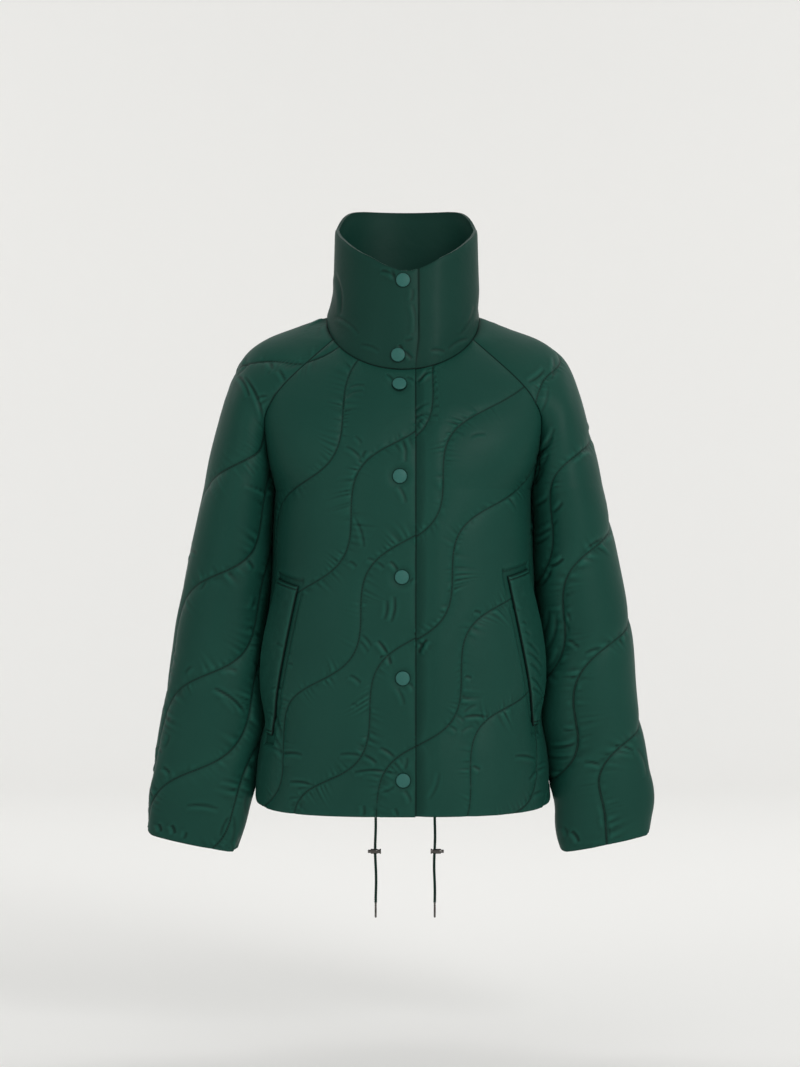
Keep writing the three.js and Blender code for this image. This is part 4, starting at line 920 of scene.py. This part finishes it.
def sleeve_at(side):
    def at(i, j):
        t = i / SLEEVE_COLUMNS if side > 0 else 1 - i / SLEEVE_COLUMNS
        gap = SEAM_GAP / SLEEVE_RUN
        p = sleeve_point(gap + t * (1 - 2 * gap), j, side)
        p[..., 0] *= side
        return p

    return at


for side, word in ((-1, "right"), (1, "left")):
    half = SLEEVE_COLUMNS * FINE // 2
    cloth = Cloth(
        sleeve_at(side), SLEEVE_COLUMNS, ROWS, lambda left: left[:, half:half + 1], up_is_height=False
    )
    cloth.quilt(QUILT_SLEEVES[side])
    seam = np.minimum(cloth.left, cloth.right)
    cloth.sewn = np.minimum(seam, cloth.top)
    edges = np.minimum.reduce([swell(seam), open_edge(cloth.foot), swell(cloth.top)])
    ahead = (cloth.left < cloth.right) == (side > 0)
    where = seam, cloth.j[:, 0], cloth.flat[..., 2]
    room = np.where(ahead, ROOM_FAR * arm_room(*where, -1, side), ROOM_NEAR * arm_room(*where, 1, side))
    puckered(cloth, edges, PUFF, 31 + side, room=room, folds=SLEEVE_FOLDS[side])
    piece = finish_panel(f"sleeve_{word}", cloth, fabric)


# Collar. A tall funnel of the same cloth, lightly padded and not quilted, cut higher at the back and
# sloping to the closing at the front. Its two ends overlap as the fronts do.
COLLAR_COLUMNS, COLLAR_ROWS = 48, 12
COLLAR_FLARE = np.array([(0, 95, 85, 76), (0.14, 90.5, 84, 74), (0.4, 88.5, 82, 71), (1, 86.5, 78, 66)])
NECK_HALF, NECK_SIDE, NECK_FRONT_DROP, NECK_BACK_RISE = 95, 15, 69, 13
COLLAR_SEAT, COLLAR_PUFF = 0.35, 2.6
COLLAR_LEAN = 4.0  # how far its upper part stands to the wearer's left
# share of the way from the middle to the side, height of the top edge at the front
RIM = np.array([
    (0, 67), (0.1, 68), (0.23, 72), (0.35, 77), (0.49, 84.5), (0.64, 91.5), (0.77, 99.5), (0.87, 107.5),
    (0.96, 116.5), (1, 125),
])
RIM_BACK = 154.0
COLLAR_SNAPS = ((-6, 0.14), (0, 0.9))  # place across, share of the way up


# both ends across and up, and the depth
COLLAR_FOLDS = (
    (-83, 72, -75, 16, 1.0), (-26, 68, -9, 60, 0.9), (-14, 70, -10, 56, 0.7), (-5, -24, -1, -30, 1.0),
    (0, -31, 11, -41, 0.8), (12, -16, 2, -19, 0.5), (12, 45, 10, 29, 0.5), (12, 26, 15, -10, 0.6),
    (-51, -22, -28, -31, 0.5), (33, -30, 51, -31, 0.6), (54, -28, 78, -13, 0.6), (87, 29, 69, -10, 0.6),
    (-80, 14, -52, -10, 0.5),
)


def collar_point(turn, up):
    """Turn is the angle from the centre front to the wearer's left, and up is 0 at the seam and 1 on top."""
    turn, up = np.broadcast_arrays(np.asarray(turn, float), np.asarray(up, float))
    cos, sin = np.cos(turn), np.sin(turn)
    half, ahead, behind = between(COLLAR_FLARE, up)
    seam = NECK_SIDE - np.where(cos > 0, NECK_FRONT_DROP, NECK_BACK_RISE) * cos
    front_rim = between(RIM, np.minimum(np.abs(sin), 1))[0]
    rim = np.where(cos > 0, front_rim, RIM_BACK - (RIM_BACK - RIM[-1, 1]) * sin**10)
    low = seam + COLLAR_SEAT
    x = half * sin + COLLAR_LEAN * ease(up / 0.35)
    return np.stack([x, -np.where(cos > 0, ahead, behind) * cos, low + (rim - low) * up], -1)


def collar_turn(x, up):
    return math.asin((x - collar_point(0, up)[0]) / between(COLLAR_FLARE, up)[0])


def collar_at(i, j):
    past = math.asin(OVERLAP / NECK_HALF)
    turn = -past + (TAU + 2 * past) * np.asarray(i, float) / COLLAR_COLUMNS
    p = collar_point(turn, np.asarray(j, float) / COLLAR_ROWS)
    p[..., 1] += np.where(turn < math.pi / 2, dip(p[..., 0]), 0)
    return p


cloth = Cloth(collar_at, COLLAR_COLUMNS, COLLAR_ROWS, lambda left: OVERLAP)
edges = np.minimum.reduce([
    open_edge(np.minimum(cloth.left, cloth.right)), swell(cloth.foot), open_edge(cloth.top),
])
# Painted shadow in the colour: beside the collar's seam, a softer one beside its overlapping end's edge, and
# a thin ring round each snap cap.
cloth.sewn = np.minimum(cloth.foot, np.maximum(0.6, cloth.left - 2 * OVERLAP))
for x, up in COLLAR_SNAPS:
    r = np.linalg.norm(cloth.flat - collar_point(collar_turn(x, up), up), axis=-1)
    cloth.sewn = np.minimum(cloth.sewn, np.maximum(0, r - SNAP_RADIUS))
puckered(cloth, edges, COLLAR_PUFF, 41, spare=0.02, folds=COLLAR_FOLDS)
# A darker copy of the shell fabric, as painted shade for the lesser light that falls on the collar.
shaded_collar_fabric = fabric_material("Shaded collar polyester", (0.0050, 0.040, 0.0285), (0.0064, 0.046, 0.0335), 0.4)
piece = finish_panel("collar", cloth, shaded_collar_fabric)


# Pocket welts. A padded strip of the shell cloth is sewn down along its inner edge and across both
# ends, and its free edge stands a little open towards the side.
WELT_STITCHES = (1.1, 4.8)  # from each end


def welt_cloth(side):
    columns, rows = 40, 176
    share, drop = np.meshgrid(np.arange(columns + 1) / columns, 1 - np.arange(rows + 1) / rows)
    if side < 0:
        share = 1 - share
    sewn, width = between(WELT, drop)
    up = WELT_TOP + drop * (WELT_FOOT - WELT_TOP) + side * WELT_UNEVEN + WELT_SLANT * share * (1 - drop)
    row = (up - HEM) / (UNDERARM - HEM) * ROWS_BELOW
    # the share of the way round the front, from the distance round it at each point's own height
    lines = body_point(np.linspace(0, 1, 201), row[..., None], -1)
    run = np.cumsum(np.linalg.norm(np.diff(lines, axis=2), axis=3), 2)
    want = (sewn + share * width)[..., None]
    k = np.clip((run < want).sum(-1), 1, 199)[..., None]
    low, high = np.take_along_axis(run, k - 1, 2), np.take_along_axis(run, k, 2)
    across = ((k + (want - low) / (high - low)) / 200)[..., 0]
    p = body_point(across, row, -1)
    n = np.cross(body_point(across + 0.01, row, -1) - p, body_point(across, row + 0.1, -1) - p)
    n /= np.linalg.norm(n, axis=-1, keepdims=True)
    long = WELT_TOP - WELT_FOOT
    edge = np.minimum.reduce([share * width, (1 - share) * width, drop * long, (1 - drop) * long])
    lift = WELT_LIFT + WELT_MOUTH * share**2 * np.sin(np.pi * drop)
    rough = smooth_noise(np.random.default_rng(51 + side), share.shape, 24)
    thick = WELT_THICK * (0.4 + 0.6 * rise(edge, FOLD_RADIUS)) + 0.15 * rough * np.clip(edge / 4, 0, 1)
    down = np.minimum(drop, 1 - drop) * long
    for row_at in WELT_STITCHES:
        thick -= 0.9 * np.exp(-(((down - row_at) / 1.6) ** 2))
    flip = np.array([side, 1, 1])
    cloth = SimpleNamespace(flat=(p + n * (lift + WALL)[..., None]) * flip, normal=n * flip)
    folds = SINGLE_DEPTH * single_folds(cloth, FRONT_FOLDS) * np.clip(edge / 3, 0, 1)
    thick = np.maximum(thick + folds, 0.9)
    cloth.outer = (p + n * (lift + thick)[..., None]) * flip
    cloth.across, cloth.foot = side * (sewn + share * width), (1 - drop) * long
    cloth.distance, cloth.height = np.full(share.shape, 60.0), thick
    # Painted shade in the colour along the sewn edge and the stitch rows, beside their real grooves.
    cloth.sewn = np.minimum.reduce([share * width] + [np.abs(down - row_at) for row_at in WELT_STITCHES])
    # the grid's rows that lie nearest to the stitching across both ends
    near = [round(row_at / long * rows) for row_at in WELT_STITCHES]
    cloth.ends = [k for n in near for k in (n, rows - n)]
    return cloth


for side, word in ((-1, "right"), (1, "left")):
    piece = finish_panel(f"welt_{word}", welt_cloth(side), fabric)


# Snaps. Seven caps of painted metal with a rolled edge, five down the closing and two on the collar.
# Each is set through the upper layer, and on the front the cloth is pressed flat round it.
paint = grained_material(
    "Painted metal", 700.0, 3.0, (0.015, 0.094, 0.078), (0.021, 0.118, 0.099), (0.15, 0.0001),
    Roughness=0.45, Specular_IOR_Level=0.3,
)
# shares of the radius and of the thickness, from the seat round the rolled edge to the middle
CAP = np.array([
    (0.1, 0), (0.9, 0), (0.96, 0.06), (0.995, 0.2), (1, 0.36), (0.985, 0.54), (0.95, 0.68), (0.9, 0.77),
    (0.84, 0.81), (0.79, 0.8), (0.74, 0.82), (0.6, 0.89), (0.4, 0.95), (0.2, 0.99), (0.03, 1),
])


def seat_cap(name, node, wall, place, axis):
    axis = axis / np.linalg.norm(axis)
    off = (wall.outer - place).reshape(-1, 3)
    up = off @ axis
    within = np.linalg.norm(off - up[:, None] * axis, axis=1) <= SNAP_RADIUS
    seat = place + axis * (up[within].max() + 0.1)
    girth, height = (CAP * (SNAP_RADIUS, SNAP_THICK)).T[..., None]
    cap = ring_body(name, seat + height * axis, axis, girth, 64)
    finish_piece(cap, paint, "cap", node)


rows = np.linspace(0, ROWS, 2001)
middle = body_point(0 * rows, rows, -1)
for k, (x, z) in enumerate(FRONT_SNAPS, 1):
    n = int(np.argmin(np.abs(middle[:, 2] - z)))
    axis = np.cross((1, 0, 0), middle[n + 5] - middle[n - 5])
    seat_cap(f"Snap_front_{k}", f"snap_front_{k}", walls["front_right"], middle[n] + (x, 0, 0), axis)
for k, (x, up) in enumerate(COLLAR_SNAPS, 1):
    turn = collar_turn(x, up)
    climb = collar_point(turn, up + 0.02) - collar_point(turn, up - 0.02)
    axis = np.cross(collar_point(turn + 0.01, up) - collar_point(turn - 0.01, up), climb)
    seat_cap(f"Snap_collar_{k}", f"snap_collar_{k}", walls["collar"], collar_point(turn, up), axis)


# Stitching. Lockstitch in matching thread runs along every quilting line, and in a double row across
# both ends of each welt. One stitch is a short arched length of thread, set on each point by nodes.
STITCH_PITCH, STITCH_LENGTH = 3.6, 0.0026  # in millimetres, and in metres for the nodes
STITCH_LIFT = 0.12  # of the thread's foot over the cloth
LINE_GAP, FEWEST = 7, 3  # a gap wider than this ends a run, and runs of so few points are left out
thread = grained_material(
    "Sewing thread", 2500.0, 2.0, (0.005, 0.028, 0.020), (0.011, 0.050, 0.037),
    Roughness=0.6, Specular_IOR_Level=0.25,
)
THREAD_SIZES = (
    ("Stitch length", STITCH_LENGTH), ("Thread radius", 0.00024), ("Arch height", 0.0003), ("Waver", 0.05),
)


def stitch_nodes():
    """One arched stitch on every point, along its 'along' and lifted on its 'out'."""
    tree = bpy.data.node_groups.new("Stitches", "GeometryNodeTree")
    face, nodes = tree.interface, tree.nodes
    face.new_socket("Geometry", in_out="INPUT", socket_type="NodeSocketGeometry")
    for name, value in THREAD_SIZES:
        face.new_socket(name, in_out="INPUT", socket_type="NodeSocketFloat").default_value = value
    face.new_socket("Thread", in_out="INPUT", socket_type="NodeSocketMaterial")
    face.new_socket("Geometry", in_out="OUTPUT", socket_type="NodeSocketGeometry")
    start, end = nodes.new("NodeGroupInput"), nodes.new("NodeGroupOutput")

    def times(source, output, factor):
        made = nodes.new("ShaderNodeMath")
        made.operation = "MULTIPLY"
        made.inputs[1].default_value = factor
        join(tree, (source, output, made, 0))
        return made

    half = times(start, "Stitch length", 0.5)
    minus, low = times(half, 0, -1.0), times(start, "Waver", -1.0)
    foot, top, far = (nodes.new("ShaderNodeCombineXYZ") for _ in range(3))
    arch = add_node(tree, "GeometryNodeCurveQuadraticBezier", Resolution=2)
    ring = add_node(tree, "GeometryNodeCurvePrimitiveCircle", Resolution=3)
    yarn = add_node(tree, "GeometryNodeCurveToMesh", Fill_Caps=True)
    along, out = (add_node(tree, "GeometryNodeInputNamedAttribute", Name=name) for name in ("along", "out"))
    along.data_type = out.data_type = "FLOAT_VECTOR"
    aligned = nodes.new("FunctionNodeAxesToRotation")
    aligned.primary_axis, aligned.secondary_axis = "X", "Z"
    wild = add_node(tree, "FunctionNodeRandomValue", Seed=7)
    wild.data_type = "FLOAT"
    lowest, highest = (k for k, s in enumerate(wild.inputs) if s.type == "VALUE" and s.enabled)
    drawn = next(k for k, s in enumerate(wild.outputs) if s.type == "VALUE" and s.enabled)
    turn = add_node(tree, "FunctionNodeAxisAngleToRotation", Axis=(0, 0, 1))
    both = nodes.new("FunctionNodeRotateRotation")
    both.rotation_space = "LOCAL"
    points = nodes.new("GeometryNodeMeshToPoints")
    place = nodes.new("GeometryNodeInstanceOnPoints")
    real = nodes.new("GeometryNodeRealizeInstances")
    look = nodes.new("GeometryNodeSetMaterial")
    join(
        tree, (minus, 0, foot, "X"), (start, "Arch height", top, "Z"), (half, 0, far, "X"),
        (foot, "Vector", arch, "Start"), (top, "Vector", arch, "Middle"), (far, "Vector", arch, "End"),
        (start, "Thread radius", ring, "Radius"), (arch, "Curve", yarn, "Curve"),
        (ring, "Curve", yarn, "Profile Curve"), (along, "Attribute", aligned, "Primary Axis"),
        (out, "Attribute", aligned, "Secondary Axis"), (low, 0, wild, lowest),
        (start, "Waver", wild, highest), (wild, drawn, turn, "Angle"),
        (aligned, "Rotation", both, "Rotation"), (turn, "Rotation", both, "Rotate By"),
        (start, "Geometry", points, "Mesh"), (points, "Points", place, "Points"),
        (yarn, "Mesh", place, "Instance"), (both, "Rotation", place, "Rotation"),
        (place, "Instances", real, "Geometry"), (real, "Geometry", look, "Geometry"),
        (start, "Thread", look, "Material"), (look, "Geometry", end, "Geometry"),
    )
    return tree


stitches = stitch_nodes()


def sew(name, runs):
    """Stitches along runs of points, each a pair of points and outward normals in millimetres."""
    places, alongs, outs = [], [], []

    def read(rows, at, spots):
        return np.stack([np.interp(spots, at, rows[:, k]) for k in range(3)], -1)

    for points, normals in runs:
        step = np.linalg.norm(np.diff(points, axis=0), axis=1)
        at = np.concatenate([[0], np.cumsum(step)])
        if at[-1] < 2 * STITCH_PITCH:
            continue
        spots = np.arange(STITCH_PITCH / 2, at[-1], STITCH_PITCH)
        before, after = spots - STITCH_PITCH / 3, spots + STITCH_PITCH / 3
        places.append(read(points, at, spots))
        alongs.append(read(points, at, after) - read(points, at, before))
        outs.append(read(normals, at, spots))
    places, alongs, outs = (np.concatenate(x) for x in (places, alongs, outs))
    outs /= np.linalg.norm(outs, axis=1, keepdims=True)
    points = mesh_object(name, places + STITCH_LIFT * outs, [])
    for key, value in (("along", alongs), ("out", outs)):
        points.data.attributes.new(key, "FLOAT_VECTOR", "POINT").data.foreach_set(
            "vector", value.astype(np.float32).reshape(-1)
        )
    modifier = points.modifiers.new("Stitches", "NODES")
    modifier.node_group = stitches
    sockets = {s.name: s.identifier for s in stitches.interface.items_tree if s.in_out == "INPUT"}
    modifier[sockets["Thread"]] = thread
    modifier[sockets["Stitch length"]] = STITCH_LENGTH
    depsgraph = bpy.context.evaluated_depsgraph_get()
    sewn = bpy.data.meshes.new_from_object(points.evaluated_get(depsgraph), depsgraph=depsgraph)
    points.modifiers.clear()
    points.data = sewn
    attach(points, "root")


def along_lines(cloth):
    for j, i in cloth.lines:
        points, normals = cloth.outer[j, i], cloth.normal[j, i]
        breaks = np.flatnonzero(np.linalg.norm(np.diff(points, axis=0), axis=1) > LINE_GAP) + 1
        for run in np.split(np.arange(len(points)), breaks):
            if len(run) > FEWEST:
                yield points[run], normals[run]


for name in ("front_right", "front_left", "back", "sleeve_right", "sleeve_left"):
    sew(f"Quilting_{name}", list(along_lines(walls[name])))
for name in ("welt_right", "welt_left"):
    welt = walls[name]
    sew(f"Ends_{name}", [(welt.outer[k], welt.normal[k]) for k in welt.ends])


# Studio. A floor of pale paper curves up into the background. Two large soft lamps stand in front of
# the jacket, and three behind it light the paper.
def soft_light(name, place, aim, size, power):
    light = bpy.data.lights.new(name, "AREA")
    light.shape, light.size, light.energy = "DISK", size, power
    lamp = bpy.data.objects.new(name, light)
    lamp.location = place
    lamp.rotation_euler = (Vector(aim) - Vector(place)).to_track_quat("-Z", "Y").to_euler()
    lamp.visible_camera = False
    scene.collection.objects.link(lamp)


soft_light("Key", (1.5, -2.6, 1.0), (0, 0, -0.28), 1.3, 40)
soft_light("Fill", (-2.0, -2.6, 0.2), (0, 0, -0.3), 2.0, 9)
soft_light("Paper_left", (-3.0, 1.8, 2.0), (-0.8, 4.4, -0.4), 2.0, 38)
soft_light("Paper_right", (3.0, 1.8, 2.0), (0.8, 4.4, -0.4), 2.0, 38)
soft_light("Floor", (0, 1.2, 1.6), (0, 0.9, -0.9), 1.6, 8)

world = bpy.data.worlds.new("Studio")
world.use_nodes = True
set_inputs(world.node_tree.nodes["Background"], {"Color": (0.86, 0.86, 0.85, 1), "Strength": 0.62})
scene.world = world
scene.view_settings.view_transform = "Standard"

FLOOR, BEND, BEND_START = -900.0, 1500, 3600
side_on = [(-4500, FLOOR)]
for t in np.linspace(0, math.pi / 2, 25):
    side_on.append((BEND_START + BEND * math.sin(t), FLOOR + BEND * (1 - math.cos(t))))
side_on.append((BEND_START + BEND, 5000))
points = [(x, y, z) for y, z in side_on for x in (-5000, 5000)]
faces = [(2 * k, 2 * k + 1, 2 * k + 3, 2 * k + 2) for k in range(len(side_on) - 1)]
backdrop = mesh_object("Backdrop", points, faces)
pale, *_ = new_material(
    "Pale paper", Base_Color=(0.88, 0.875, 0.86, 1), Roughness=0.95, Specular_IOR_Level=0.1
)
backdrop.data.materials.append(pale)
